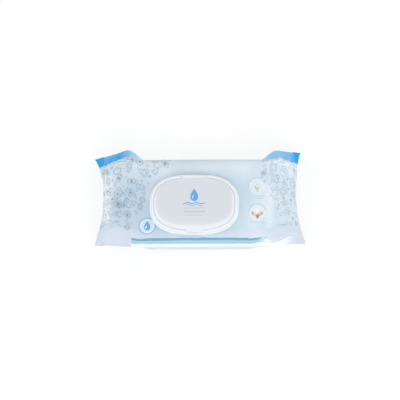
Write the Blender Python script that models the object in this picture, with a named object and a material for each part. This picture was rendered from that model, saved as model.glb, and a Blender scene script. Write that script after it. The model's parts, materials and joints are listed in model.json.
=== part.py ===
"""Flow-wrapped pack of wet wipes with a moulded flip-top lid.

The film and the stack of wipes in it are one soft closed solid. A moulded frame
is glued on the flat top, round the tear-out opening, and its lid swings on a
living hinge at the back. Metres, +Z up, +X along the pack, +Y to the back. The
origin is under the middle of the pack, on the surface that it lies on.
"""

import math
from dataclasses import dataclass

import bmesh
import bpy

# Film pack
PACK_HEIGHT = 0.0470
PACK_WIDTH = 0.0970
BODY_SHIFT_Y = -0.0061
ROOT_HALF_LENGTH = 0.1055
END_ROUND_LENGTH = 0.0200
SHOULDER_REACH = 0.0080
BASE_REACH = 0.0100
WALL_LEVEL = 0.0280
EAR_REACH = 0.0067
EAR_LEVEL = 0.0270
EAR_FACET_POWER = 1.7

# Fins
FIN_LEVEL = 0.0330
FIN_STRAIGHT_HALF_WIDTH = 0.0305
FIN_DROP = 0.0090
FIN_REACH = 0.0025
FIN_THICKNESS = 0.0010
FIN_CURVE_POWER = 2.5


@dataclass(frozen=True)
class Corner:
    """One end of a fin: where its root and its tip lie.

    The out values count along X from the middle of the fin's root, the side values
    along Y from half of the pack's width, and the heights from the ground.
    """

    root_out: float
    root_side: float
    root_z: float
    tip_out: float
    tip_side: float
    tip_z: float

    @property
    def root_y(self):
        """Return how far the root lies from the middle along Y."""
        return PACK_WIDTH / 2 + self.root_side


@dataclass(frozen=True)
class End:
    """One end of the pack: its side, its ears' places along X and its fin's corners."""

    side: int
    ear_start_x: float
    ear_peak_x: float
    back: Corner
    front: Corner


LEFT_END = End(
    side=-1,
    ear_start_x=ROOT_HALF_LENGTH - 0.0425,
    ear_peak_x=ROOT_HALF_LENGTH - 0.0240,
    back=Corner(0.0045, 0.0025, 0.0090, 0.0135, 0.0009, 0.0040),
    front=Corner(0.0045, 0.0020, 0.0090, 0.0135, 0.0004, 0.0040),
)
RIGHT_END = End(
    side=1,
    ear_start_x=ROOT_HALF_LENGTH - 0.0345,
    ear_peak_x=ROOT_HALF_LENGTH - 0.0180,
    back=Corner(0.0015, 0.0065, 0.0150, 0.0085, 0.0063, 0.0110),
    front=Corner(0.0045, 0.0025, 0.0090, 0.0135, 0.0012, 0.0040),
)

# Lid frame
FRAME_LENGTH = 0.0980
FRAME_WIDTH = 0.0680
FRAME_CENTRE_X = -0.0061
FRAME_FROM_BODY_Y = -0.0062
FRAME_POWER = 2.7
FLANGE_HEIGHT = 0.0007
FLANGE_REACH = 0.0011
RIM_HEIGHT = 0.0054
RIM_INSET = 0.00435
RIM_DRAFT = 0.0008
LEDGE_HEIGHT = 0.0026
LEDGE_WIDTH = 0.0019
FLOOR_THICKNESS = 0.0012

# Dispensing opening and the collar round it
OPENING_LENGTH = 0.0620
OPENING_WIDTH = 0.0340
OPENING_POWER = 2.4
COLLAR_WALL = 0.0014
COLLAR_HEIGHT = 0.0046
COLLAR_ROUND = 0.0004

# Lid
LID_CLEARANCE = 0.00045
LID_RISE = 0.0019
LID_WALL = 0.0012
SKIRT_WALL = 0.0011
SEAL_RING_WALL = 0.0010
SEAL_RING_CLEARANCE = 0.0007
SEAL_RING_LIFT = 0.0005
LID_CROWN_SHIFT_Y = 0.0025

# Living hinge and thumb tab
TONGUE_WIDTH = 0.0264
TONGUE_SIDE_GAP = 0.00045
TONGUE_THICKNESS = 0.0008
HINGE_INSET = 0.0017
HINGE_DROP = 0.0005
THUMB_TAB_WIDTH = 0.0184
THUMB_TAB_THICKNESS = 0.0009
THUMB_TAB_INSET = 0.0021
SCOOP_RADIUS = 0.0360
SCOOP_DEPTH = 0.0027
SCOOP_MARGIN = 0.0009

# Gap that separates two pieces that touch, and mesh fineness
TOUCH_GAP = 0.0003
ARC_STEPS = 7
FLAT_STEPS = 10
EAR_STEPS = 7
END_STEPS = 7
RING_STEPS = 80

# What follows from the sizes above
FRAME_Z = PACK_HEIGHT + TOUCH_GAP
FRAME_CENTRE_Y = BODY_SHIFT_Y + FRAME_FROM_BODY_Y
FRAME_HALF_X = FRAME_LENGTH / 2
FRAME_HALF_Y = FRAME_WIDTH / 2
RIM_TOP = FRAME_Z + RIM_HEIGHT
HINGE_Y = FRAME_CENTRE_Y + FRAME_HALF_Y - HINGE_INSET
HINGE_Z = RIM_TOP - HINGE_DROP
HINGE_LAND_Z = HINGE_Z - TONGUE_THICKNESS - TOUCH_GAP


def clear_scene():
    """Remove what the scene holds."""
    for item in list(bpy.data.objects):
        bpy.data.objects.remove(item, do_unlink=True)


def plastic(name, colour, roughness):
    """Return an unmetallic Principled material."""
    material = bpy.data.materials.new(name)
    material.use_nodes = True
    shader = material.node_tree.nodes["Principled BSDF"]
    shader.inputs["Base Color"].default_value = (*colour, 1.0)
    shader.inputs["Roughness"].default_value = roughness
    shader.inputs["Metallic"].default_value = 0.0
    return material


def link_mesh(name, mesh_data, material=None):
    """Turn a bmesh into a linked object and return it."""
    mesh = bpy.data.meshes.new(name)
    bmesh.ops.recalc_face_normals(mesh_data, faces=mesh_data.faces)
    mesh_data.to_mesh(mesh)
    mesh_data.free()
    item = bpy.data.objects.new(name, mesh)
    bpy.context.collection.objects.link(item)
    if material:
        mesh.materials.append(material)
    return item


def smooth(item, angle=0.6):
    """Shade an object smooth, with creases sharper than the angle kept."""
    item.data.shade_smooth()
    item.data.set_sharp_from_angle(angle=angle)


def ease(start, end, value):
    """Go smoothly from 0 at start to 1 at end."""
    t = min(1.0, max(0.0, (value - start) / (end - start)))
    return t * t * (3 - 2 * t)


def mix(a, b, t):
    """Interpolate from a to b."""
    return a + (b - a) * t


# Film pack

def corner_arc(ridge_y, ridge_z, flat_y, flat_z, power):
    """Return points from the side ridge to the edge of a flat panel, both included.

    A power of 1 gives a quarter ellipse and 2 a straight facet.
    """
    points = []
    for step in range(ARC_STEPS + 1):
        angle = math.pi / 2 * step / ARC_STEPS
        along_y = math.cos(angle) ** power if step < ARC_STEPS else 0.0
        along_z = math.sin(angle) ** power
        points.append((mix(flat_y, ridge_y, along_y), mix(ridge_z, flat_z, along_z)))
    return points


def panel_row(back_ridge, front_ridge, centre_y, flat_half, flat_z, power):
    """Return (y, z) points from the back ridge over one panel to the front ridge."""
    back = corner_arc(*back_ridge, centre_y + flat_half, flat_z, power)
    front = corner_arc(*front_ridge, centre_y - flat_half, flat_z, power)
    flat = [
        (centre_y + mix(flat_half, -flat_half, step / FLAT_STEPS), flat_z)
        for step in range(1, FLAT_STEPS)
    ]
    return back + flat + front[::-1]


def ridge_point(end, corner, direction, x):
    """Return the (y, z) of the side ridge at a length x.

    It runs along the side wall, swells out to the ear and goes straight from the
    ear to the fin's corner. The direction is 1 for the back and -1 for the front.
    """
    ear = ease(end.ear_start_x, end.ear_peak_x, x)
    closing = max(0.0, (x - end.ear_peak_x) / (ROOT_HALF_LENGTH - end.ear_peak_x))
    wall_y = BODY_SHIFT_Y + direction * PACK_WIDTH / 2
    ear_y = direction * (PACK_WIDTH / 2 + EAR_REACH)
    y = mix(mix(wall_y, ear_y, ear), direction * corner.root_y, closing)
    z = mix(mix(WALL_LEVEL, EAR_LEVEL, ear), corner.root_z, closing)
    return y, z


def section_loop(end, x, turn):
    """Return the closed loop of a cross-section as (x, y, z) points.

    x is the distance from the middle of the pack, and turn goes from 0, where the
    rounding of the end starts, to a quarter turn at the root of the fin.
    """
    ear = ease(end.ear_start_x, end.ear_peak_x, x)
    closing = 1 - math.cos(turn)
    back = ridge_point(end, end.back, 1, x)
    front = ridge_point(end, end.front, -1, x)
    centre_y = mix(BODY_SHIFT_Y, 0, ear)
    power = mix(1.0, EAR_FACET_POWER, ear)
    top_half = mix(PACK_WIDTH / 2 - SHOULDER_REACH, FIN_STRAIGHT_HALF_WIDTH, closing)
    base_half = mix(PACK_WIDTH / 2 - BASE_REACH, FIN_STRAIGHT_HALF_WIDTH, closing)
    top_z = mix(PACK_HEIGHT, FIN_LEVEL + FIN_THICKNESS / 2, closing)
    base_z = mix(0, FIN_LEVEL - FIN_THICKNESS / 2, closing)
    top = panel_row(back, front, centre_y, top_half, top_z, power)
    base = panel_row(back, front, centre_y, base_half, base_z, power)
    loop = []
    for y, z in top + base[-2:0:-1]:
        corner, ridge = (end.back, back) if y > centre_y else (end.front, front)
        share = abs((y - centre_y) / (ridge[0] - centre_y)) ** FIN_CURVE_POWER
        loop.append((end.side * (x + corner.root_out * closing * share), y, z))
    return loop


def fin_loop(end, reach):
    """Return the loop round the fin at a share of its length, 0 root and 1 tip.

    The closed end is an arch: straight over the middle, down to the corners. The
    fin hangs down and outwards from it. Its two film layers are half the fin's
    thickness to each side of the arch and meet at its two corners.
    """
    back = (end.back.root_y, end.back.root_z)
    front = (-end.front.root_y, end.front.root_z)
    arch = panel_row(back, front, 0, FIN_STRAIGHT_HALF_WIDTH, FIN_LEVEL, EAR_FACET_POWER)
    upper = []
    lower = []
    for index, (y, z) in enumerate(arch):
        corner = end.back if y > 0 else end.front
        share = (abs(y) / corner.root_y) ** FIN_CURVE_POWER
        out = mix(FIN_REACH, corner.tip_out - corner.root_out, share)
        drop = mix(FIN_DROP, corner.root_z - corner.tip_z, share)
        aside = math.copysign(1, y) * (corner.tip_side - corner.root_side) * share
        length = math.hypot(out, drop)
        at_corner = index in (0, len(arch) - 1)
        half = 0 if at_corner else FIN_THICKNESS / 2
        x = ROOT_HALF_LENGTH + corner.root_out * share + out * reach
        y = y + aside * reach
        z = z - drop * reach
        step_x = drop / length * half
        step_z = out / length * half
        upper.append((end.side * (x + step_x), y, z + step_z))
        lower.append((end.side * (x - step_x), y, z - step_z))
    return upper + lower[-2:0:-1]


def film_loops(end):
    """Return the loops of one half of the pack, from near the middle to the fin's tip."""
    round_start = ROOT_HALF_LENGTH - END_ROUND_LENGTH
    loops = [section_loop(end, end.ear_start_x / 2, 0)]
    for step in range(EAR_STEPS):
        x = mix(end.ear_start_x, round_start, step / EAR_STEPS)
        loops.append(section_loop(end, x, 0))
    for step in range(END_STEPS):
        turn = math.pi / 2 * step / END_STEPS
        x = round_start + END_ROUND_LENGTH * math.sin(turn)
        loops.append(section_loop(end, x, turn))
    for reach in (0, 0.5, 1):
        loops.append(fin_loop(end, reach))
    return loops


def add_loop(mesh_data, points):
    """Add a closed row of vertices."""
    return [mesh_data.verts.new(point) for point in points]


def skin(mesh_data, first, second):
    """Join two loops of as many vertices with quads."""
    count = len(first)
    for index in range(count):
        after = (index + 1) % count
        mesh_data.faces.new((first[index], first[after], second[after], second[index]))


def zip_closed(mesh_data, loop):
    """Close a flat loop by joining its upper row to its lower row."""
    count = len(loop)
    half = count // 2
    mesh_data.faces.new((loop[0], loop[1], loop[count - 1]))
    for index in range(1, half - 1):
        quad = (loop[index], loop[index + 1], loop[count - index - 1], loop[count - index])
        mesh_data.faces.new(quad)
    mesh_data.faces.new((loop[half - 1], loop[half], loop[half + 1]))


def film_pack(material):
    """Build the film with the stack of wipes that fills it, as one soft solid."""
    mesh_data = bmesh.new()
    rows = film_loops(LEFT_END)[::-1] + [section_loop(RIGHT_END, 0, 0)] + film_loops(RIGHT_END)
    loops = [add_loop(mesh_data, row) for row in rows]
    for first, second in zip(loops, loops[1:]):
        skin(mesh_data, first, second)
    zip_closed(mesh_data, loops[0])
    zip_closed(mesh_data, loops[-1])
    bmesh.ops.triangulate(mesh_data, faces=mesh_data.faces)
    item = link_mesh("film_pack", mesh_data, material)
    smooth(item, 0.9)
    return item


# Moulded rings

def ring(half_x, half_y, z, power=FRAME_POWER, shift_y=0.0):
    """Return a superellipse at height z over the frame's foot, centred on the frame."""
    points = []
    for step in range(RING_STEPS):
        angle = 2 * math.pi * step / RING_STEPS
        cos = math.cos(angle)
        sin = math.sin(angle)
        x = math.copysign(abs(cos) ** (2 / power), cos) * half_x
        y = math.copysign(abs(sin) ** (2 / power), sin) * half_y
        points.append((FRAME_CENTRE_X + x, FRAME_CENTRE_Y + y + shift_y, FRAME_Z + z))
    return points


def frame_ring(inset, z, shift_y=0.0):
    """Return the frame's outline moved in by an inset."""
    return ring(FRAME_HALF_X - inset, FRAME_HALF_Y - inset, z, shift_y=shift_y)


def opening_ring(outset, z):
    """Return the opening's outline moved out by an outset."""
    half_x = OPENING_LENGTH / 2 + outset
    half_y = OPENING_WIDTH / 2 + outset
    return ring(half_x, half_y, z, OPENING_POWER)


def frame_rings():
    """Return the frame's section, from the foot's outer edge round to its underside."""
    wall = FLANGE_REACH + 0.0003
    rim_outer = wall + RIM_DRAFT
    ledge_end = RIM_INSET + LEDGE_WIDTH
    return [
        frame_ring(0.0004, 0),
        frame_ring(0, 0.0003),
        frame_ring(0, FLANGE_HEIGHT),
        frame_ring(0.0004, FLANGE_HEIGHT + 0.0003),
        frame_ring(FLANGE_REACH, FLANGE_HEIGHT + 0.0005),
        frame_ring(wall, FLANGE_HEIGHT + 0.0010),
        frame_ring(rim_outer - 0.0002, RIM_HEIGHT - 0.0014),
        frame_ring(rim_outer + 0.0001, RIM_HEIGHT - 0.0006),
        frame_ring(rim_outer + 0.0008, RIM_HEIGHT),
        frame_ring(RIM_INSET - 0.0004, RIM_HEIGHT),
        frame_ring(RIM_INSET, RIM_HEIGHT - 0.0003),
        frame_ring(RIM_INSET, LEDGE_HEIGHT),
        frame_ring(ledge_end, LEDGE_HEIGHT),
        frame_ring(ledge_end + 0.0004, FLOOR_THICKNESS),
        opening_ring(COLLAR_WALL + 0.0002, FLOOR_THICKNESS),
        opening_ring(COLLAR_WALL, COLLAR_HEIGHT - COLLAR_ROUND),
        opening_ring(COLLAR_WALL - COLLAR_ROUND, COLLAR_HEIGHT),
        opening_ring(COLLAR_ROUND, COLLAR_HEIGHT),
        opening_ring(0, COLLAR_HEIGHT - COLLAR_ROUND),
        opening_ring(0, 0),
    ]


def lid_edge(inset, z, shift_y=0.0):
    """Return the lid's outline moved in by an inset from its own edge."""
    return frame_ring(RIM_INSET + LID_CLEARANCE + inset, z, shift_y)


def lid_crown(share, z, power=2.4):
    """Return a ring of the lid's middle, as a share of the lid's size."""
    edge = RIM_INSET + LID_CLEARANCE
    half_x = (FRAME_HALF_X - edge) * share
    half_y = (FRAME_HALF_Y - edge) * share
    return ring(half_x, half_y, z, power, LID_CROWN_SHIFT_Y)


def lid_rings():
    """Return the lid's section, from the middle of its top round to the middle below."""
    edge_top = RIM_HEIGHT - 0.0001
    crown = RIM_HEIGHT + LID_RISE
    seal_in = COLLAR_WALL + SEAL_RING_CLEARANCE
    seal_out = seal_in + SEAL_RING_WALL
    seal_foot = FLOOR_THICKNESS + SEAL_RING_LIFT
    under = crown - LID_WALL
    return [
        lid_crown(0.30, crown),
        lid_crown(0.55, crown - 0.0002),
        lid_edge(0.0090, crown - 0.0006, LID_CROWN_SHIFT_Y / 2),
        lid_edge(0.0030, edge_top + 0.0003),
        lid_edge(0.0008, edge_top),
        lid_edge(0.0002, edge_top - 0.0003),
        lid_edge(0, edge_top - 0.0008),
        lid_edge(0, LEDGE_HEIGHT + TOUCH_GAP),
        lid_edge(SKIRT_WALL, LEDGE_HEIGHT + TOUCH_GAP),
        lid_edge(SKIRT_WALL, edge_top - 0.0010),
        opening_ring(seal_out, under - 0.0008),
        opening_ring(seal_out, seal_foot),
        opening_ring(seal_in, seal_foot),
        opening_ring(seal_in, under - 0.0007),
        lid_crown(0.55, under - 0.0002),
        lid_crown(0.30, under),
    ]


def loft(name, rings, material, closed):
    """Skin a row of rings; a closed row is a hollow band, an open one gets two caps."""
    mesh_data = bmesh.new()
    loops = [add_loop(mesh_data, points) for points in rings]
    for first, second in zip(loops, loops[1:]):
        skin(mesh_data, first, second)
    if closed:
        skin(mesh_data, loops[-1], loops[0])
    else:
        mesh_data.faces.new(loops[0])
        mesh_data.faces.new(loops[-1])
    bmesh.ops.triangulate(mesh_data, faces=mesh_data.faces)
    return link_mesh(name, mesh_data, material)


def side_prism(name, outline, half_width, centre_x, as_tool=True):
    """Extrude a (y, z) outline along X, to both sides of centre_x."""
    mesh_data = bmesh.new()
    near = [mesh_data.verts.new((centre_x - half_width, y, z)) for y, z in outline]
    face = mesh_data.faces.new(near)
    grown = bmesh.ops.extrude_face_region(mesh_data, geom=[face])
    moved = [part for part in grown["geom"] if isinstance(part, bmesh.types.BMVert)]
    bmesh.ops.translate(mesh_data, verts=moved, vec=(2 * half_width, 0, 0))
    item = link_mesh(name, mesh_data)
    if as_tool:
        hide_tool(item)
    return item


def hide_tool(item):
    """Mark an object as a cutter or a block that a Boolean uses up."""
    item.hide_render = True
    item.display_type = "WIRE"


def boolean(item, tool, operation):
    """Add an exact Boolean of a tool to an object."""
    modifier = item.modifiers.new(tool.name, "BOOLEAN")
    modifier.object = tool
    modifier.operation = operation
    modifier.solver = "EXACT"


def tongue_gap():
    """Return the cutter that opens the rim for the hinge tongue."""
    back = FRAME_CENTRE_Y + FRAME_HALF_Y + 0.001
    front = FRAME_CENTRE_Y + FRAME_HALF_Y - RIM_INSET - 0.0005
    outline = [
        (front, HINGE_LAND_Z),
        (back, HINGE_LAND_Z),
        (back, RIM_TOP + 0.001),
        (front, RIM_TOP + 0.001),
    ]
    return side_prism("tongue_gap", outline, TONGUE_WIDTH / 2 + TONGUE_SIDE_GAP, FRAME_CENTRE_X)


def thumb_scoop():
    """Return the round cutter that dips the front of the rim under the thumb tab."""
    reach = RIM_INSET + 2 * SCOOP_MARGIN
    mesh_data = bmesh.new()
    bmesh.ops.create_cone(
        mesh_data, cap_ends=True, segments=64, radius1=SCOOP_RADIUS, radius2=SCOOP_RADIUS, depth=reach
    )
    item = link_mesh("thumb_scoop", mesh_data)
    item.rotation_euler = (math.pi / 2, 0, 0)
    item.location = (
        FRAME_CENTRE_X,
        FRAME_CENTRE_Y - FRAME_HALF_Y + RIM_INSET / 2,
        RIM_TOP + SCOOP_RADIUS - SCOOP_DEPTH,
    )
    hide_tool(item)
    return item


def lid_frame(material):
    """Build the moulded frame: flange, rim, ledge, floor and the opening's collar."""
    item = loft("lid_frame", frame_rings(), material, closed=True)
    boolean(item, tongue_gap(), "DIFFERENCE")
    boolean(item, thumb_scoop(), "DIFFERENCE")
    smooth(item)
    return item


def hinge_tongue():
    """Return the block that carries the lid over the rim to the hinge line."""
    edge = FRAME_CENTRE_Y + FRAME_HALF_Y - RIM_INSET - LID_CLEARANCE
    end = HINGE_Y - TOUCH_GAP / 2
    top = RIM_TOP - 0.0002
    outline = [
        (edge - SKIRT_WALL * 0.8, top - 0.0010),
        (edge, HINGE_Z - TONGUE_THICKNESS),
        (end, HINGE_Z - TONGUE_THICKNESS),
        (end, HINGE_Z),
        (edge, top),
        (edge - SKIRT_WALL * 0.8, top),
    ]
    return side_prism("hinge_tongue", outline, TONGUE_WIDTH / 2, FRAME_CENTRE_X)


def thumb_tab():
    """Return the block that stands out over the scoop for the thumb."""
    edge = FRAME_CENTRE_Y - FRAME_HALF_Y + RIM_INSET + LID_CLEARANCE
    end = FRAME_CENTRE_Y - FRAME_HALF_Y + THUMB_TAB_INSET
    top = RIM_TOP - 0.0002
    outline = [
        (edge + SKIRT_WALL * 0.8, top),
        (edge, top),
        (end, top - 0.0005),
        (end, top - THUMB_TAB_THICKNESS),
        (edge + SKIRT_WALL * 0.8, top - THUMB_TAB_THICKNESS),
    ]
    return side_prism("thumb_tab", outline, THUMB_TAB_WIDTH / 2, FRAME_CENTRE_X)


def set_origin(item, point):
    """Put an object's origin on a point and leave its shape where it is."""
    for vertex in item.data.vertices:
        for axis in range(3):
            vertex.co[axis] -= point[axis]
    item.location = point


def lid(material):
    """Build the flip lid: crowned plate, skirt, sealing ring, tongue and thumb tab."""
    item = loft("lid", lid_rings(), material, closed=False)
    boolean(item, hinge_tongue(), "UNION")
    boolean(item, thumb_tab(), "UNION")
    smooth(item)
    set_origin(item, (FRAME_CENTRE_X, HINGE_Y, HINGE_Z))
    return item


def main():
    """Build the pack."""
    clear_scene()
    film_pack(plastic("printed film", (0.63, 0.76, 0.88), 0.32))
    white = plastic("white polypropylene", (0.86, 0.88, 0.91), 0.35)
    lid_frame(white)
    lid(white)


main()
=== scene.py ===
"""Looks of a soft film pack of wet wipes with a moulded flip-top lid.

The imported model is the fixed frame. The film is a printed tube, crimped at both
ends and sealed along its underside, drawn over the stack of wipes. The lid and
its frame are moulded in white polypropylene and joined by a living hinge.
Metres, +Z up, +X along the pack, +Y to the back.
"""

import json
import logging
import math
from collections.abc import Callable
from dataclasses import dataclass, field, replace
from enum import Enum
from typing import Union

import bmesh
import bpy
import numpy as np
from mathutils import Matrix, Vector


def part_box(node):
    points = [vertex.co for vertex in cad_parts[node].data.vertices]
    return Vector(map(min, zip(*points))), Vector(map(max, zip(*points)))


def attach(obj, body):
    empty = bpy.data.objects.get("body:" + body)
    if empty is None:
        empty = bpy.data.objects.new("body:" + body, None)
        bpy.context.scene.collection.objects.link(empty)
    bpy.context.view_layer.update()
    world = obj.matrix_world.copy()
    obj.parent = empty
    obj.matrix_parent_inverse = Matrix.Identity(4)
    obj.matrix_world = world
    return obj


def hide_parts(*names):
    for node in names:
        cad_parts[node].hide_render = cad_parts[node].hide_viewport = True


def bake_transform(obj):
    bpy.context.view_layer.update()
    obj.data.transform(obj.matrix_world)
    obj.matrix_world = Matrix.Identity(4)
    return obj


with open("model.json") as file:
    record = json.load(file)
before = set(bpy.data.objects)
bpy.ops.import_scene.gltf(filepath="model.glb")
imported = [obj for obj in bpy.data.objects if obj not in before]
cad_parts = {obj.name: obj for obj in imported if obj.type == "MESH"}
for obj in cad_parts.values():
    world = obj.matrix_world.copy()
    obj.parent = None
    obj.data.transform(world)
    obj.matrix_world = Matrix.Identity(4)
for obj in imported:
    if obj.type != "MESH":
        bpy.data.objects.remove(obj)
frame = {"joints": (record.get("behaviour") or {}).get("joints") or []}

LOG = logging.getLogger("wipes_pack")
MM = 0.001
PRINT_MAP = "Print"
CLOTH_SCALE = 10
# Sockets of the Mix node for colours: factor, both colours, and result.
MIX_INPUTS = (0, 6, 7)
MIX_RESULT = 2
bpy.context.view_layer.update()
HINGE = Vector(frame["joints"][0]["pos_m"])

Colour = tuple[float, float, float]
Pair = tuple[float, float]
Place = Pair
Number = Union[float, "Scalar"]
Socket = bpy.types.NodeSocket
Tint = Union[Colour, Socket]


class Side(Enum):
    """An end of the pack, by its direction along X."""

    LEFT = -1
    RIGHT = 1


class Flank(Enum):
    """A long side of the pack, by its direction along Y."""

    FRONT = -1
    BACK = 1


class Cut(Enum):
    """What a Boolean does with its tool."""

    JOIN = "UNION"
    REMOVE = "DIFFERENCE"


def srgb(red: int, green: int, blue: int) -> Colour:
    """Return a linear colour from its 0 to 255 display values."""
    shares = (channel / 255 for channel in (red, green, blue))
    return tuple(s / 12.92 if s <= 0.04045 else ((s + 0.055) / 1.055) ** 2.4 for s in shares)


def ease(start: float, end: float, value: float) -> float:
    """Go smoothly from 0 at start to 1 at end."""
    t = min(1.0, max(0.0, (value - start) / (end - start)))
    return t * t * (3 - 2 * t)


def mix(a: float, b: float, t: float) -> float:
    """Interpolate from a to b."""
    return a + (b - a) * t


# Shader graphs


class Scalar:
    """A float socket whose arithmetic adds Math nodes."""

    def __init__(self, graph: "Graph", socket: Socket) -> None:
        """Wrap a socket of a graph."""
        self.graph = graph
        self.socket = socket

    def __add__(self, other: Number) -> "Scalar":
        """Return self + other."""
        return self.graph.math("ADD", self, other)

    __radd__ = __add__

    def __sub__(self, other: Number) -> "Scalar":
        """Return self - other."""
        return self.graph.math("SUBTRACT", self, other)

    def __rsub__(self, other: Number) -> "Scalar":
        """Return other - self."""
        return self.graph.math("SUBTRACT", other, self)

    def __mul__(self, other: Number) -> "Scalar":
        """Return self * other."""
        return self.graph.math("MULTIPLY", self, other)

    __rmul__ = __mul__

    def __truediv__(self, other: Number) -> "Scalar":
        """Return self / other."""
        return self.graph.math("DIVIDE", self, other)

    def __pow__(self, other: Number) -> "Scalar":
        """Return self to the power other."""
        return self.graph.math("POWER", self, other)

    def __abs__(self) -> "Scalar":
        """Return the absolute value."""
        return self.graph.math("ABSOLUTE", self)

    def __gt__(self, other: Number) -> "Scalar":
        """Return 1 where self is greater."""
        return self.graph.math("GREATER_THAN", self, other)

    def __lt__(self, other: Number) -> "Scalar":
        """Return 1 where self is less."""
        return self.graph.math("LESS_THAN", self, other)


class Graph:
    """The nodes of one material or world."""

    def __init__(self, owner: bpy.types.Material | bpy.types.World) -> None:
        """Keep the owner and its first shader.

        Args:
            owner: The material or world.
        """
        owner.use_nodes = True
        self.owner = owner
        self.tree = owner.node_tree
        self.output = next(node for node in self.tree.nodes if node.type.startswith("OUTPUT"))
        self.shader = self.output.inputs["Surface"].links[0].from_node

    def node(
        self, kind: str, settings: dict | None = None, inputs: dict | None = None
    ) -> bpy.types.Node:
        """Add a node.

        Args:
            kind: The node's type, without the ShaderNode prefix.
            settings: Its properties, which are set first.
            inputs: Values, sockets or scalars by input name or index.

        Returns:
            The new node.
        """
        made = self.tree.nodes.new("ShaderNode" + kind)
        for key, value in (settings or {}).items():
            setattr(made, key, value)
        for key, value in (inputs or {}).items():
            self.connect(value, made.inputs[key])
        return made

    def connect(self, value: Union[Number, Socket, tuple], target: Socket) -> None:
        """Link a socket or scalar to an input, or set the input's own value.

        Args:
            value: What the input gets.
            target: The input.
        """
        if isinstance(value, Scalar):
            value = value.socket
        if isinstance(value, Socket):
            self.tree.links.new(value, target)
        else:
            target.default_value = value

    def math(self, operation: str, *values: Number) -> Scalar:
        """Add a Math node on one to three values."""
        made = self.node("Math", {"operation": operation}, dict(enumerate(values)))
        return Scalar(self, made.outputs[0])

    def least(self, first: Number, second: Number) -> Scalar:
        """Return the smaller of two values."""
        return self.math("MINIMUM", first, second)

    def most(self, first: Number, second: Number) -> Scalar:
        """Return the larger of two values."""
        return self.math("MAXIMUM", first, second)

    def step(self, value: Number, start: float, end: float) -> Scalar:
        """Go smoothly from 0 where value is start to 1 where it is end.

        Args:
            value: The value that is compared.
            start: Where the share is 0.
            end: Where the share is 1, above or below start.

        Returns:
            The share, eased at both ends.
        """
        settings = {"interpolation_type": "SMOOTHSTEP"}
        inputs = {"Value": value, "From Min": start, "From Max": end}
        if start > end:
            inputs = {"Value": value, "From Min": end, "From Max": start, "To Min": 1.0, "To Max": 0.0}
        return Scalar(self, self.node("MapRange", settings, inputs).outputs["Result"])

    def blend(self, factor: Number, first: Tint, second: Tint) -> Socket:
        """Mix two colours.

        Args:
            factor: Share of the second colour.
            first: A socket or a linear RGB triple.
            second: The same.

        Returns:
            The mixed colour.
        """
        pair = [(*tone, 1.0) if isinstance(tone, tuple) else tone for tone in (first, second)]
        settings = {"data_type": "RGBA", "clamp_factor": True}
        made = self.node("Mix", settings, dict(zip(MIX_INPUTS, (factor, *pair))))
        return made.outputs[MIX_RESULT]

    def noise(self, vector: Socket, scale: float, detail: float = 2.0) -> Scalar:
        """Add a noise texture on a vector and return its value."""
        made = self.node("TexNoise", None, {"Vector": vector, "Scale": scale, "Detail": detail})
        return Scalar(self, made.outputs["Fac"])

    def split(self, vector: Socket) -> tuple[Scalar, Scalar, Scalar]:
        """Return the three coordinates of a vector."""
        made = self.node("SeparateXYZ", None, {"Vector": vector})
        return tuple(Scalar(self, made.outputs[axis]) for axis in "XYZ")

    def join(self, x: Number, y: Number, z: Number = 0.0) -> Socket:
        """Return a vector from its coordinates."""
        return self.node("CombineXYZ", None, {"X": x, "Y": y, "Z": z}).outputs["Vector"]

    def bump(self, height: Number, depth: float) -> None:
        """Feed the shader's normal from a height of 0 to 1 that is depth metres high."""
        made = self.node("Bump", None, {"Strength": 1.0, "Distance": depth, "Height": height})
        self.tree.links.new(made.outputs["Normal"], self.shader.inputs["Normal"])

    def dress(self, **values: Union[Number, Socket, Colour]) -> bpy.types.Material | bpy.types.World:
        """Set or link the shader's sockets.

        Args:
            values: Values, sockets or colours by the socket's name, with underscores for spaces.

        Returns:
            The material or world.
        """
        for key, value in values.items():
            if isinstance(value, tuple):
                value = (*value, 1.0)
            self.connect(value, self.shader.inputs[key.replace("_", " ")])
        return self.owner

    def seen(self) -> Scalar:
        """Return 1 for rays that the camera sends out, mirrored and refracted ones among them.

        Returns:
            The share, 0 or 1.
        """
        path = self.node("LightPath")
        kinds = ("Camera", "Glossy", "Transmission")
        rays = [Scalar(self, path.outputs[f"Is {kind} Ray"]) for kind in kinds]
        return self.least(sum(rays[1:], rays[0]), 1.0)

    def overlay(self, share: Number, kind: str, strength: float) -> None:
        """Mix plain white light into the shader.

        Args:
            share: Where it is 1, there is white light alone.
            kind: Node type of the light.
            strength: The light's strength.
        """
        white = self.node(kind, None, {"Color": (1, 1, 1, 1), "Strength": strength})
        inputs = {0: share, 1: self.shader.outputs[0], 2: white.outputs[0]}
        mixed = self.node("MixShader", None, inputs)
        self.tree.links.new(mixed.outputs[0], self.output.inputs["Surface"])


# Finishes


@dataclass(frozen=True)
class FloorPaper:
    """Seamless white paper, washed towards white where the camera sees it."""

    colour: Colour = (0.955, 0.955, 0.955)
    wash: float = 0.8
    roughness: float = 0.9
    specular: float = 0.1

    def material(self) -> bpy.types.Material:
        """Return the material, mixed with white light where the camera sees it.

        Returns:
            The material.
        """
        graph = Graph(bpy.data.materials.new("white paper"))
        graph.overlay(graph.seen() * self.wash, "Emission", 1.0)
        return graph.dress(
            Base_Color=self.colour, Roughness=self.roughness, Specular_IOR_Level=self.specular
        )


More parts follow.
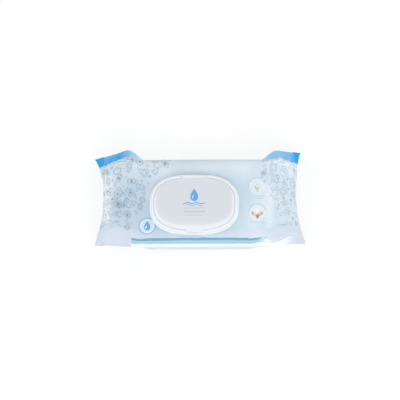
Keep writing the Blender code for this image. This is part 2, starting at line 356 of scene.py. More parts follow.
class Print:
    """Drawing tools for a flat print, on a graph with places in millimetres."""

    def __init__(self, graph: Graph, u: Scalar, v: Scalar, edge: float = 0.18) -> None:
        """Keep the graph, the two places and the softness of drawn edges.

        Args:
            graph: The material's graph.
            u: Place along the first axis in millimetres.
            v: Place along the second axis in millimetres.
            edge: Half of a drawn edge's soft width in millimetres.
        """
        self.graph = graph
        self.u = u
        self.v = v
        self.edge = edge

    def inside(self, depth: Scalar) -> Scalar:
        """Return 1 where a depth inside an outline is positive, with a soft edge."""
        return self.graph.step(depth, -self.edge, self.edge)

    def local(self, centre: Place, turn: float = 0.0) -> tuple[Scalar, Scalar]:
        """Return places counted from a centre, with the axes turned.

        Args:
            centre: The new origin.
            turn: Angle of the first axis in degrees.

        Returns:
            The two places.
        """
        du = self.u - centre[0]
        dv = self.v - centre[1]
        if not turn:
            return du, dv
        cos = math.cos(math.radians(turn))
        sin = math.sin(math.radians(turn))
        return du * cos + dv * sin, dv * cos - du * sin

    def distance(self, centre: Place) -> Scalar:
        """Return the distance from a centre."""
        du, dv = self.local(centre)
        return self.graph.math("SQRT", du * du + dv * dv)

    def disc(self, centre: Place, radius: float) -> Scalar:
        """Return a filled disc."""
        return self.inside(radius - self.distance(centre))

    def ring(self, centre: Place, radius: float, line: float) -> Scalar:
        """Return a circle drawn with a line of some width."""
        return self.inside(line / 2 - abs(self.distance(centre) - radius))

    def leaf(self, centre: Place, length: float, width: float, turn: float) -> Scalar:
        """Return a leaf that is pointed at both ends and lies along its turned axis.

        Args:
            centre: Its middle.
            length: Length from tip to tip.
            width: Width in the middle.
            turn: Angle of its length in degrees.

        Returns:
            1 inside and 0 outside.
        """
        along, beside = self.local(centre, turn)
        share = along * (2 / length)
        return self.inside((1 - share * share) * (width / 2) - abs(beside))

    def drop(self, centre: Place, length: float, width: float, turn: float = 90.0) -> Scalar:
        """Return a drop whose tip points along its turned axis.

        Args:
            centre: Its middle.
            length: Length from tip to round end.
            width: Largest width.
            turn: Angle of its length in degrees.

        Returns:
            1 inside and 0 outside.
        """
        along, beside = self.local(centre, turn)
        share = self.graph.least(self.graph.most(along / length + 0.5, 0.0), 1.0)
        half = self.graph.math("SQRT", share) * (1 - share) * (width / 2 / 0.385)
        return self.inside(half - abs(beside) - self.edge)

    def crease(self, start: Place, end: Place, width: float) -> Scalar:
        """Return a soft ridge along a line, 1 at its middle.

        Args:
            start: One end of the line.
            end: The other end.
            width: Half of the ridge's width.

        Returns:
            The ridge's height, 0 to 1.
        """
        du, dv = end[0] - start[0], end[1] - start[1]
        half = math.hypot(du, dv) / 2
        middle = (start[0] + du / 2, start[1] + dv / 2)
        along, beside = self.local(middle, math.degrees(math.atan2(dv, du)))
        ends = self.graph.step(abs(along), half + width, half - width)
        return self.graph.step(abs(beside), width, 0.0) * ends

    def bar(self, left: float, right: float, low: float, high: float, rounding: float) -> Scalar:
        """Return a bar with rounded ends.

        Args:
            left: Its left end.
            right: Its right end.
            low: Its lower edge.
            high: Its upper edge.
            rounding: Radius of its corners.

        Returns:
            1 inside and 0 outside.
        """
        half_u = (right - left) / 2 - rounding
        half_v = (high - low) / 2 - rounding
        du = self.graph.most(abs(self.u - (left + right) / 2) - half_u, 0.0)
        dv = self.graph.most(abs(self.v - (low + high) / 2) - half_v, 0.0)
        return self.inside(rounding - self.graph.math("SQRT", du * du + dv * dv))


@dataclass(frozen=True)
class LabelPlace:
    """Where the lid's label lies: a superellipse, and the height that it stays above."""

    x: float
    y: float
    half_x: float
    half_y: float
    floor: float
    power: float = 2.7


@dataclass(frozen=True)
class LidPlastic:
    """Satin polypropylene with a fine moulded grain, and on the lid a printed in-mould label on a field of
    painted shade.
    """

    name: str
    colour: Colour
    label: LabelPlace | None = None
    # Painted shade: the lid's raised middle darker than its slopes, which catch more light.
    shaded_field_tint: Colour = srgb(209, 213, 220)
    roughness: float = 0.34
    ior: float = 1.49
    grain_depth: float = 0.015 * MM
    grain_scale: float = 2200.0
    grain_gloss: float = 0.08
    cloud_scale: float = 30.0
    cloud_shade: float = 0.965
    label_lift: float = 1.8
    blue: Colour = srgb(92, 162, 214)
    blue_grey: Colour = srgb(164, 184, 208)
    grey: Colour = srgb(190, 194, 202)

    def material(self) -> bpy.types.Material:
        """Return the material, with the label where there is one.

        Returns:
            The material.
        """
        graph = Graph(bpy.data.materials.new(self.name))
        place = graph.node("TexCoord").outputs["Object"]
        grain = graph.noise(place, self.grain_scale, 3.0)
        cloud = graph.noise(place, self.cloud_scale, 2.0)
        graph.bump(grain, self.grain_depth)
        tint = graph.blend(cloud, self.colour, tuple(share * self.cloud_shade for share in self.colour))
        if self.label:
            tint = self.print_label(graph, place, tint)
        roughness = self.roughness + (grain - 0.5) * self.grain_gloss
        return graph.dress(Base_Color=tint, Roughness=roughness, IOR=self.ior)

    def print_label(self, graph: Graph, place: Socket, colour: Tint) -> Socket:
        """Paint shade on the label's field, darker than the lit slopes round it, and print a water drop over
        two waves, and thin bars below.

        Args:
            graph: The material's graph.
            place: The place on the object.
            colour: The plastic's colour.

        Returns:
            The colour with the label on the lid's upper face.
        """
        label = self.label
        x, y, z = graph.split(place)
        pen = Print(graph, x * 1000.0, y * 1000.0, edge=0.14)
        at_x = label.x / MM
        at_y = label.y / MM + self.label_lift
        upper = z > label.floor
        across = abs(x - label.x) / label.half_x
        up = abs(y - label.y) / label.half_y
        # Painted shade over the raised middle, fading out on the slopes.
        field_shade_share = graph.step(across**label.power + up**label.power, 2.2, 0.95)
        colour = graph.blend(field_shade_share * upper, colour, self.shaded_field_tint)
        wave = graph.math("SINE", (pen.u - at_x) * 0.62) * 0.8
        parts = [
            (pen.drop((at_x, at_y + 6.0), 14.0, 9.0), self.blue),
            (pen.leaf((at_x - 1.6, at_y + 3.8), 5.2, 1.3, 74.0), self.shaded_field_tint),
        ]
        for half_line, level, half_length in ((0.55, 3.4, 12), (0.3, 5.6, 9)):
            line = pen.inside(half_line - abs(pen.v - (at_y - level) - wave))
            ends = pen.bar(at_x - half_length, at_x + half_length, -90, 90, 0.5)
            parts.append((graph.least(line, ends), self.blue))
        for half_length, low, high, rounding, tone in (
            (12.5, 9.3, 8.3, 0.45, self.grey),
            (11.5, 13.6, 12.6, 0.45, self.blue_grey),
            (10.0, 17.2, 16.4, 0.35, self.grey),
        ):
            bar = pen.bar(at_x - half_length, at_x + half_length, at_y - low, at_y - high, rounding)
            parts.append((bar, tone))
        for mask, tone in parts:
            colour = graph.blend(mask * upper, colour, tone)
        return colour


@dataclass(frozen=True)
class MotifCell:
    """One motif's cell, as sockets: its place and free radius, random numbers, and the way from it."""

    u: Scalar
    v: Scalar
    room: Scalar
    pick: Scalar
    spin: Scalar
    kind: Scalar
    reach: Scalar
    turn: Scalar


@dataclass(frozen=True)
class Doodles:
    """Fine line motifs in scattered cells: flowers, clovers, shells and pods, with dots between.

    Lengths are in millimetres.
    """

    pitch: float = 13.4
    line: float = 0.5
    size: float = 6.4
    fill: float = 0.96
    scatter: float = 0.5
    dot: float = 0.9
    small_pitch: float = 6.2
    small_size: float = 1.9
    small_shift: Pair = (3.1, 1.7)

    def cells(self, graph: Graph, u: Scalar, v: Scalar, pitch: float, scatter: float) -> MotifCell:
        """Find the nearest motif.

        Args:
            graph: The material's graph.
            u: Place along the pack in millimetres.
            v: Place round it in millimetres.
            pitch: Distance between motifs.
            scatter: How far the motifs leave a regular grid, 0 to 1.

        Returns:
            The motif's cell.
        """
        inputs = {"Vector": graph.join(u / pitch, v / pitch), "Scale": 1.0, "Randomness": scatter}
        near, ball = (
            graph.node("TexVoronoi", {"voronoi_dimensions": "2D", "feature": feature}, inputs)
            for feature in ("F1", "N_SPHERE_RADIUS")
        )
        at_u, at_v, _ = graph.split(near.outputs["Position"])
        pick, spin, kind = graph.split(near.outputs["Color"])
        at_u, at_v = at_u * pitch, at_v * pitch
        du, dv = u - at_u, v - at_v
        return MotifCell(
            u=at_u,
            v=at_v,
            room=Scalar(graph, ball.outputs["Radius"]) * pitch,
            pick=pick,
            spin=spin,
            kind=kind,
            reach=graph.math("SQRT", du * du + dv * dv),
            turn=graph.math("ARCTAN2", dv, du) + spin * math.tau,
        )

    def stroke(self, graph: Graph, distance: Scalar) -> Scalar:
        """Return a drawn line where a distance is near 0."""
        return graph.step(abs(distance), self.line / 2 + 0.22, self.line / 2 - 0.15)

    def outline(self, graph: Graph, cell: MotifCell, radius: Scalar) -> Scalar:
        """Return how far a motif's outline is from its middle, in the direction of the point.

        Args:
            graph: The material's graph.
            cell: The motif's cell.
            radius: The motif's largest radius.

        Returns:
            The distance in millimetres.
        """
        petals = graph.math("FLOOR", cell.kind * 6.99) + 1
        depth = 0.25 + graph.math("FRACT", cell.pick * 7.0) * 0.4
        bulge = abs(graph.math("COSINE", cell.turn * petals * 0.5)) ** (0.4 + cell.pick * 1.5)
        squeeze = graph.math("FRACT", cell.pick * 3.0) * 0.4
        stretch = 1 - squeeze * abs(graph.math("SINE", cell.turn))
        return radius * (1 - depth + depth * bulge) * stretch

    def draw(self, graph: Graph, u: Scalar, v: Scalar, zone: Callable[[Scalar, Scalar], Scalar]) -> Scalar:
        """Return where the motifs' lines are.

        Args:
            graph: The material's graph.
            u: Place along the pack in millimetres.
            v: Place round it in millimetres.
            zone: Function of a motif's own place that gives 1 where it is printed.

        Returns:
            1 on a line or dot and 0 elsewhere.
        """
        cell = self.cells(graph, u, v, self.pitch, self.scatter)
        reach, turn = cell.reach, cell.turn
        outline = self.outline(graph, cell, graph.least(cell.room * self.fill, self.size))
        pick = graph.math("FRACT", cell.spin * 5.0)
        ring = self.stroke(graph, reach - outline * 0.55) * (pick > 0.6)
        spokes = self.stroke(graph, graph.math("SINE", turn * 2.5) * reach * 0.4)
        spokes = spokes * (reach < outline * 0.82) * (reach > outline * 0.35) * (pick < 0.4)
        petals = 1 + 0.4 * graph.math("COSINE", turn * 3)
        core = graph.step(reach * petals, self.dot + 0.2, self.dot - 0.2)
        core = core * (graph.math("FRACT", cell.pick * 11.0) > 0.6) * 1.3
        inner = graph.most(ring, graph.most(spokes * 0.8, core))
        ink = graph.most(self.stroke(graph, reach - outline), inner) * zone(cell.u, cell.v)
        shift_u, shift_v = self.small_shift
        small = self.cells(graph, u + shift_u, v + shift_v, self.small_pitch, 0.8)
        spark = self.outline(graph, small, graph.least(small.room * 0.8, self.small_size))
        solid = graph.step(small.reach - spark * 0.55, 0.15, -0.2) * (small.pick > 0.72)
        fine = graph.most(self.stroke(graph, small.reach - spark) * 0.7, solid)
        free = (reach > outline + 1.4) * (small.spin > 0.4)
        return graph.most(ink, fine * free * zone(small.u - shift_u, small.v - shift_v))


@dataclass(frozen=True)
class PrintedFilm:
    """Satin laminated film with its print and some painted light and shade, drawn on a UV map in metres.

    The map's U runs along the pack and V round it, 0 on the line over the middle
    of the top and growing to the back. Places and lengths below are in millimetres.
    A crease is its two ends, half of its width, and its height.
    """

    # Painted shade: ground_left is darker than ground_right because the light falls from the right.
    ground_left: Colour = srgb(187, 205, 219)
    ground_right: Colour = srgb(201, 218, 230)
    facet_grey: Colour = srgb(205, 214, 226)
    white: Colour = srgb(240, 245, 249)
    ink: Colour = srgb(88, 114, 138)
    wall_blue: Colour = srgb(4, 160, 232)
    # Pale blue, partly print and partly a painted reflection where the ears' inner slopes catch the bright
    # surroundings.
    wall_pale_and_reflection: Colour = srgb(146, 208, 243)
    wall_front: Colour = srgb(209, 222, 234)
    wall_back: Colour = srgb(222, 232, 240)
    # Painted shade for the dimple's far rim and its crease.
    painted_fold_shade: Colour = srgb(150, 176, 196)
    ribbon_dark: Colour = srgb(108, 164, 194)
    ribbon_light: Colour = srgb(162, 200, 219)
    green: Colour = srgb(212, 238, 232)
    leaf_green: Colour = srgb(120, 200, 160)
    ring_blue: Colour = srgb(96, 172, 216)
    pale_teal: Colour = srgb(150, 196, 210)
    sprig_tones: tuple[Colour, ...] = (srgb(176, 194, 132), srgb(196, 204, 148), srgb(140, 168, 128))
    flower_yellow: Colour = srgb(226, 218, 150)
    husk_tones: tuple[Colour, ...] = (srgb(166, 136, 120), srgb(188, 152, 134), srgb(176, 146, 130))
    boll_tones: tuple[Colour, ...] = (srgb(222, 208, 200), srgb(214, 194, 186), srgb(236, 234, 228))
    roughness: float = 0.30
    specular: float = 0.2
    wrinkle_scale: float = 0.09
    wrinkle_gloss: float = 0.08
    crumple_scale: float = 0.16
    cloud_scale: float = 0.022
    wall_edge: float = 48.5
    ribbon_top: float = -43.0
    ribbon_split: float = -45.4
    ribbon_bottom: float = -50.8
    ribbon_left: float = -76.0
    ribbon_right: float = 81.5
    drop_badge: Place = (-57.9, -29.8)
    sprig_badge: Place = (63.4, 14.5)
    cotton_badge: Place = (63.3, -14.4)
    badge_radius: float = 9.4
    dimple: Place = (-88.0, -6.0)
    dimple_radius: float = 10.0
    dimple_depth: float = 3.0
    # Middle of the painted highlight on the left fold.
    gleam: Place = (-104.5, -27.0)
    creases: tuple[tuple[Place, Place, float, float], ...] = (
        ((-90.0, -9.0), (-108.0, -29.0), 2.6, 0.6),
        ((-108.0, -30.0), (-79.0, -38.0), 2.2, 0.6),
        ((-79.0, -38.0), (-78.0, -52.0), 2.2, 0.4),
        ((-84.0, 2.0), (-70.0, 20.0), 3.0, 0.35),
        ((78.0, -34.0), (100.0, -38.0), 2.4, 0.5),
        ((75.0, 34.0), (78.0, -20.0), 3.0, 0.35),
    )

    def material(self) -> bpy.types.Material:
        """Return the material: sky tones with painted light, painted shade and highlight on the folds,
        motifs, ribbon, badges, walls, and fine relief.

        Returns:
            The material.
        """
        graph = Graph(bpy.data.materials.new("printed film"))
        along, across, _ = graph.split(graph.node("UVMap", {"uv_map": PRINT_MAP}).outputs["UV"])
        u = along * 1000.0
        v = across * 1000.0
        place = graph.join(u, v)
        pen = Print(graph, u, v)
        # Ground tones and folds carry painted light and shade.
        colour = self.folds(pen, self.ground(graph, u, v, place))
        colour = self.motifs(graph, u, v, colour)
        colour = self.ribbon(pen, colour)
        colour = self.badges(pen, colour)
        colour = self.wall(graph, u, v, colour)
        wrinkle = graph.noise(place, self.wrinkle_scale, 3.0)
        graph.bump(self.relief(pen, wrinkle), 1.0 * MM)
        roughness = self.roughness + wrinkle * self.wrinkle_gloss
        return graph.dress(Base_Color=colour, Roughness=roughness, Specular_IOR_Level=self.specular)

    def relief(self, pen: Print, wrinkle: Scalar) -> Scalar:
        """Return the height of small wrinkles, of a dimple and of the creases by it.

        Args:
            pen: The drawing tools.
            wrinkle: Fine noise, 0 to 1.

        Returns:
            The height in millimetres.
        """
        graph, u, v = pen.graph, pen.u, pen.v
        ends = graph.step(abs(u + 4), 40, 78)
        skewed = graph.join(u * 0.7 + v * 0.5, v * 0.6 - u * 0.2)
        crumple = graph.noise(skewed, self.crumple_scale, 2.0)
        folds = 1 - abs(crumple - 0.5) * 4
        height = wrinkle * 0.35 + graph.most(folds, 0.0) * 0.45 * ends
        dimple = graph.step(pen.distance(self.dimple), self.dimple_radius, 0)
        height = height - dimple * self.dimple_depth
        for start, end, width, rise in self.creases:
            height = height + pen.crease(start, end, width) * rise
        return height

    def ground(self, graph: Graph, u: Scalar, v: Scalar, place: Socket) -> Socket:
        """Return the pale sky tones behind everything, with painted light: darker to the left, lighter
        towards the back edge, and painted highlights on the front shoulder, the left waist, the right corners
        and a sheen band.

        Args:
            graph: The material's graph.
            u: Place along the pack in millimetres.
            v: Place round it in millimetres.
            place: Both as a vector.

        Returns:
            The colour.
        """
        cloud = graph.noise(place, self.cloud_scale, 2.0)
        # Painted shade: the ground darkens from right to left.
        side = graph.step(u + (cloud - 0.5) * 60, -30, 95)
        facet = graph.step(v, -30, -42) * graph.step(abs(u), 60, 84)
        colour = graph.blend(side, self.ground_left, self.ground_right)
        # Random lighter clouds, a painted highlight towards the back edge, and the grey of the front facets.
        for share, tone in (
            (graph.step(cloud, 0.45, 0.7) * 0.25, self.white),
            (graph.step(v, 12, 40) * 0.2, self.white),
            (facet * 0.8, self.facet_grey),
        ):
            colour = graph.blend(share, colour, tone)
        # Painted highlights: front shoulder, left waist, right corners and a sheen band by the badges.
        shoulder = graph.step(v, -33, -40) * graph.step(u, -84, -70) * graph.step(u, 84, 66)
        waist_highlight = graph.step(u, -95, -105) * graph.step(v, 34, 20) * graph.step(v, -36, -30)
        low_corner_highlight = graph.step(u, 82, 100) * graph.step(v, -38, -28)
        high_corner_highlight = graph.step(u, 68, 84) * graph.step(v, 20, 38)
        sheen = graph.step(abs(u - 77), 9, 0) * graph.step(v, 30, 0) * graph.step(v, -38, -30)
        left = graph.most(shoulder * 0.15, waist_highlight * 0.5)
        right = graph.most((low_corner_highlight + high_corner_highlight) * 0.2, sheen * 0.4)
        return graph.blend(graph.most(left, right), colour, self.white)

    def folds(self, pen: Print, colour: Tint) -> Socket:
        """Paint shade on the dimple's far rim and along its crease, and a painted highlight on the fold that
        catches the light.

        Args:
            pen: The drawing tools.
            colour: The colour so far.

        Returns:
            The colour with the folds.
        """
        graph = pen.graph
        # Painted shade on the dimple's far rim and along a crease.
        rim = graph.step(pen.distance(self.dimple), 11.5, 7.5)
        rim = rim * graph.step(pen.distance((-91.5, -4.0)), 6.5, 10.0)
        crease = pen.crease((-87.0, -17.0), (-101.0, -26.0), 2.6)
        colour = graph.blend(graph.most(rim * 0.45, crease * 0.35), colour, self.painted_fold_shade)
        # Painted highlight where the fold catches the light.
        gleam = graph.step(pen.distance(self.gleam), 6.0, 1.0)
        return graph.blend(gleam * 0.8, colour, self.white)

    def motifs(self, graph: Graph, u: Scalar, v: Scalar, colour: Tint) -> Socket:
        """Print the line motifs over both ends of the top.

        Args:
            graph: The material's graph.
            u: Place along the pack in millimetres.
            v: Place round it in millimetres.
            colour: The colour so far.

        Returns:
            The colour with the motifs.
        """

        def zone(at_u: Scalar, at_v: Scalar) -> Scalar:
            """Return 1 where a motif may stand.

            Args:
                at_u: The motif's place along the pack.
                at_v: Its place round the pack.

            Returns:
                1 inside the printed ends and 0 elsewhere.
            """
            left = 37 * graph.step(at_v, 5, 50) - 23 * graph.step(at_v, -12, -45) - 61
            right = 71 + 18 * graph.step(at_v, 25, -35)
            ends = graph.most(at_u < left, at_u > right)
            return ends * (at_v > -36.0) * (at_v < 46.0)

        ink = Doodles().draw(graph, u, v, zone)
        fade = 0.74 - 0.08 * graph.step(u, -20, 40)
        return graph.blend(ink * fade, colour, self.ink)

    def ribbon(self, pen: Print, colour: Tint) -> Socket:
        """Print the two-tone ribbon along the front shoulder and the white below it.

        Args:
            pen: The drawing tools.
            colour: The colour so far.

        Returns:
            The colour with the ribbon.
        """
        graph, u = pen.graph, pen.u
        left = graph.step(u, -56, -74)
        v = pen.v - self.ribbon_top + 3.3 * left + 5.0 * graph.step(u, 68, 83)
        v = v * (1 - 0.265 * left) + self.ribbon_top
        pen = Print(graph, u, v)
        low = graph.step(v, self.ribbon_bottom + 0.6, self.ribbon_bottom - 0.6)
        low = low * graph.step(u, -79, -72) * graph.step(u, 106, 88)
        below = graph.blend(graph.step(v, -64, -74), self.white, self.wall_front)
        colour = graph.blend(low, colour, below)
        half = (self.ribbon_top - self.ribbon_bottom) / 2
        middle = (self.ribbon_top + self.ribbon_bottom) / 2
        start = self.ribbon_left
        taper = graph.most(1 - graph.step(u, 66, self.ribbon_right), 0.0)
        body = pen.inside(taper * half + 0.15 - abs(v - middle)) * graph.step(u, start, start + 0.3)
        round_end = pen.bar(start, 200.0, self.ribbon_bottom, self.ribbon_top, half - 0.05)
        stripe = graph.blend(pen.inside(v - self.ribbon_split), self.ribbon_light, self.ribbon_dark)
        pale = graph.blend(graph.step(u, 60, 76), self.green, self.white)
        tail = graph.step(u + v * 0.2, 52, 66)
        return graph.blend(graph.least(body, round_end), colour, graph.blend(tail, stripe, pale))

    def badges(self, pen: Print, colour: Tint) -> Socket:
        """Print the three round badges, the thin lines under them and the leaf mark.

        Args:
            pen: The drawing tools.
            colour: The colour so far.

        Returns:
            The colour with the badges.
        """
        graph = pen.graph
        marks = [
            (pen.bar(53.5, 73.5, 3.2, 3.9, 0.3) * 0.55, self.pale_teal),
            (pen.bar(56.0, 71.0, 0.5, 1.2, 0.3) * 0.45, self.pale_teal),
            (pen.bar(54.0, 72.0, -25.9, -25.2, 0.3) * 0.5, self.pale_teal),
            (pen.leaf((71.6, -44.0), 4.4, 1.7, 20.0) * 0.8, self.leaf_green),
        ]
        for mask, tone in self.drop_parts(pen) + self.sprig_parts(pen) + self.cotton_parts(pen) + marks:
            colour = graph.blend(mask, colour, tone)
        return colour

    def drop_parts(self, pen: Print) -> list[tuple[Scalar, Colour]]:
        """Return the badge with a water drop.

        Args:
            pen: The drawing tools.

        Returns:
            Its masks and tones, the lowest first.
        """
        at_u, at_v = self.drop_badge
        return [
            (pen.disc(self.drop_badge, self.badge_radius) * 0.4, self.white),
            (pen.ring(self.drop_badge, self.badge_radius - 0.4, 0.9), self.ring_blue),
            (pen.drop((at_u, at_v + 0.6), 11.0, 7.4), self.ring_blue),
            (pen.leaf((at_u - 1.2, at_v - 1.2), 4.4, 1.2, 70.0), self.white),
        ]

    def sprig_parts(self, pen: Print) -> list[tuple[Scalar, Colour]]:
        """Return the badge with a sprig, whose ring is open below.

        Args:
            pen: The drawing tools.

        Returns:
            Its masks and tones, the lowest first.
        """
        at_u, at_v = self.sprig_badge
        left, right, stem = self.sprig_tones
        ring = pen.ring(self.sprig_badge, self.badge_radius, 0.6)
        return [
            (pen.disc(self.sprig_badge, self.badge_radius) * 0.3, self.white),
            (ring * pen.graph.step(pen.v - pen.u * 0.5, -24, -12) * 0.9, self.pale_teal),
            (pen.leaf((at_u - 1.3, at_v - 1.6), 5.4, 2.1, 116.0) * 0.8, left),
            (pen.leaf((at_u + 1.5, at_v - 2.0), 4.8, 2.0, 60.0) * 0.8, right),
            (pen.leaf((at_u + 0.2, at_v - 4.4), 5.6, 0.7, 92.0) * 0.8, stem),
            (pen.disc((at_u + 0.2, at_v + 1.8), 1.3), self.flower_yellow),
        ]

    def cotton_parts(self, pen: Print) -> list[tuple[Scalar, Colour]]:
        """Return the badge with a cotton boll in its husk, whose ring is open below.

        Args:
            pen: The drawing tools.

        Returns:
            Its masks and tones, the lowest first.
        """
        at_u, at_v = self.cotton_badge
        ring = pen.ring(self.cotton_badge, self.badge_radius, 0.7)
        parts = [
            (pen.disc(self.cotton_badge, self.badge_radius) * 0.25, self.white),
            (ring * pen.graph.step(pen.v, at_v - 1, at_v + 3) * 0.9, self.pale_teal),
        ]
        leaves = ((-3.5, -1.8, 7.6, 3.2, 150.0), (3.5, -2.0, 7.6, 3.0, 28.0), (0.0, -4.0, 6.6, 4.0, 90.0))
        for (du, dv, length, width, turn), tone in zip(leaves, self.husk_tones):
            parts.append((pen.leaf((at_u + du, at_v + dv), length, width, turn), tone))
        bolls = ((-2.3, -0.5, 2.7), (2.3, -0.5, 2.7), (0.0, 1.7, 3.0))
        for (du, dv, radius), tone in zip(bolls, self.boll_tones):
            parts.append((pen.disc((at_u + du, at_v + dv), radius), tone))
        return parts

    def wall(self, graph: Graph, u: Scalar, v: Scalar, colour: Tint) -> Socket:
        """Print the blue of the back wall, which shows on the ears and pales on their inner side, partly a
        painted reflection, and the plain base.

        Args:
            graph: The material's graph.
            u: Place along the pack in millimetres.
            v: Place round it in millimetres.
            colour: The colour so far.

        Returns:
            The colour with the walls.
        """
        edge = self.wall_edge - 5.5 * graph.step(abs(u), 68, 92) - 2.5 * graph.step(u, -74, -92)
        edge = edge + graph.step(u, 88, 104)
        # The blue pales towards the middle of each ear: partly a painted reflection.
        left = graph.step(u, -90, -74) * (u < 0.0)
        right = graph.step(u, 120, 84) * 0.85 * (u > 0.0)
        pale = graph.most(graph.step(v, 62, 100), graph.most(left, right))
        blue = graph.blend(pale, self.wall_blue, self.wall_pale_and_reflection)
        blue = graph.blend(graph.step(abs(u), 80, 60) * 0.9, blue, self.wall_back)
        colour = graph.blend(graph.step(v - edge, -0.25, 0.25), colour, blue)
        return graph.blend(graph.step(abs(v), 96, 104), colour, self.ground_right)


# Meshes


def link(name: str, mesh_data: bmesh.types.BMesh) -> bpy.types.Object:
    """Turn a bmesh into a linked, smooth object.

    Args:
        name: The object's and its mesh's name.
        mesh_data: The bmesh, which is freed.

    Returns:
        The object.
    """
    mesh = bpy.data.meshes.new(name)
    mesh_data.to_mesh(mesh)
    mesh_data.free()
    mesh.shade_smooth()
    item = bpy.data.objects.new(name, mesh)
    bpy.context.scene.collection.objects.link(item)
    return item


def only(grown: list, kind: type) -> list:
    """Return the vertices, edges or faces alone from an operator's new geometry."""
    return [part for part in grown if isinstance(part, kind)]


def read(items: bpy.types.bpy_prop_collection, key: str, width: int = 1, kind: type = float) -> np.ndarray:
    """Return one property of all items of a mesh.

    Args:
        items: Vertices or an attribute's data.
        key: The property.
        width: Numbers per item.
        kind: Type of the numbers.

    Returns:
        The numbers in one flat row.
    """
    found = np.zeros(len(items) * width, kind)
    items.foreach_get(key, found)
    return found


def adjust(target: bpy.types.bpy_struct, **values: Union[int, float, str, bpy.types.bpy_struct]) -> None:
    """Set several properties.

    Args:
        target: What they belong to.
        values: The values by property name, set in this order.
    """
    for key, value in values.items():
        setattr(target, key, value)


# Film


@dataclass(frozen=True)
class Corner:
    """One end of a fin: where its root and its tip lie.

    The out values count along X from the middle of the fin's root, the side values
    along Y from half of the pack's width, and the heights from the ground.
    """

    root_out: float
    root_side: float
    root_z: float
    tip_out: float
    tip_side: float
    tip_z: float


@dataclass(frozen=True)
class End:
    """One end of the pack: its ears' places along X, its back ear's rise and its fin's corners."""

    side: Side
    ear_start: float
    ear_peak: float
    ear_rise: float
    back: Corner
    front: Corner

    def corner(self, flank: Flank) -> Corner:
        """Return the fin's corner on a flank."""
        return self.back if flank is Flank.BACK else self.front


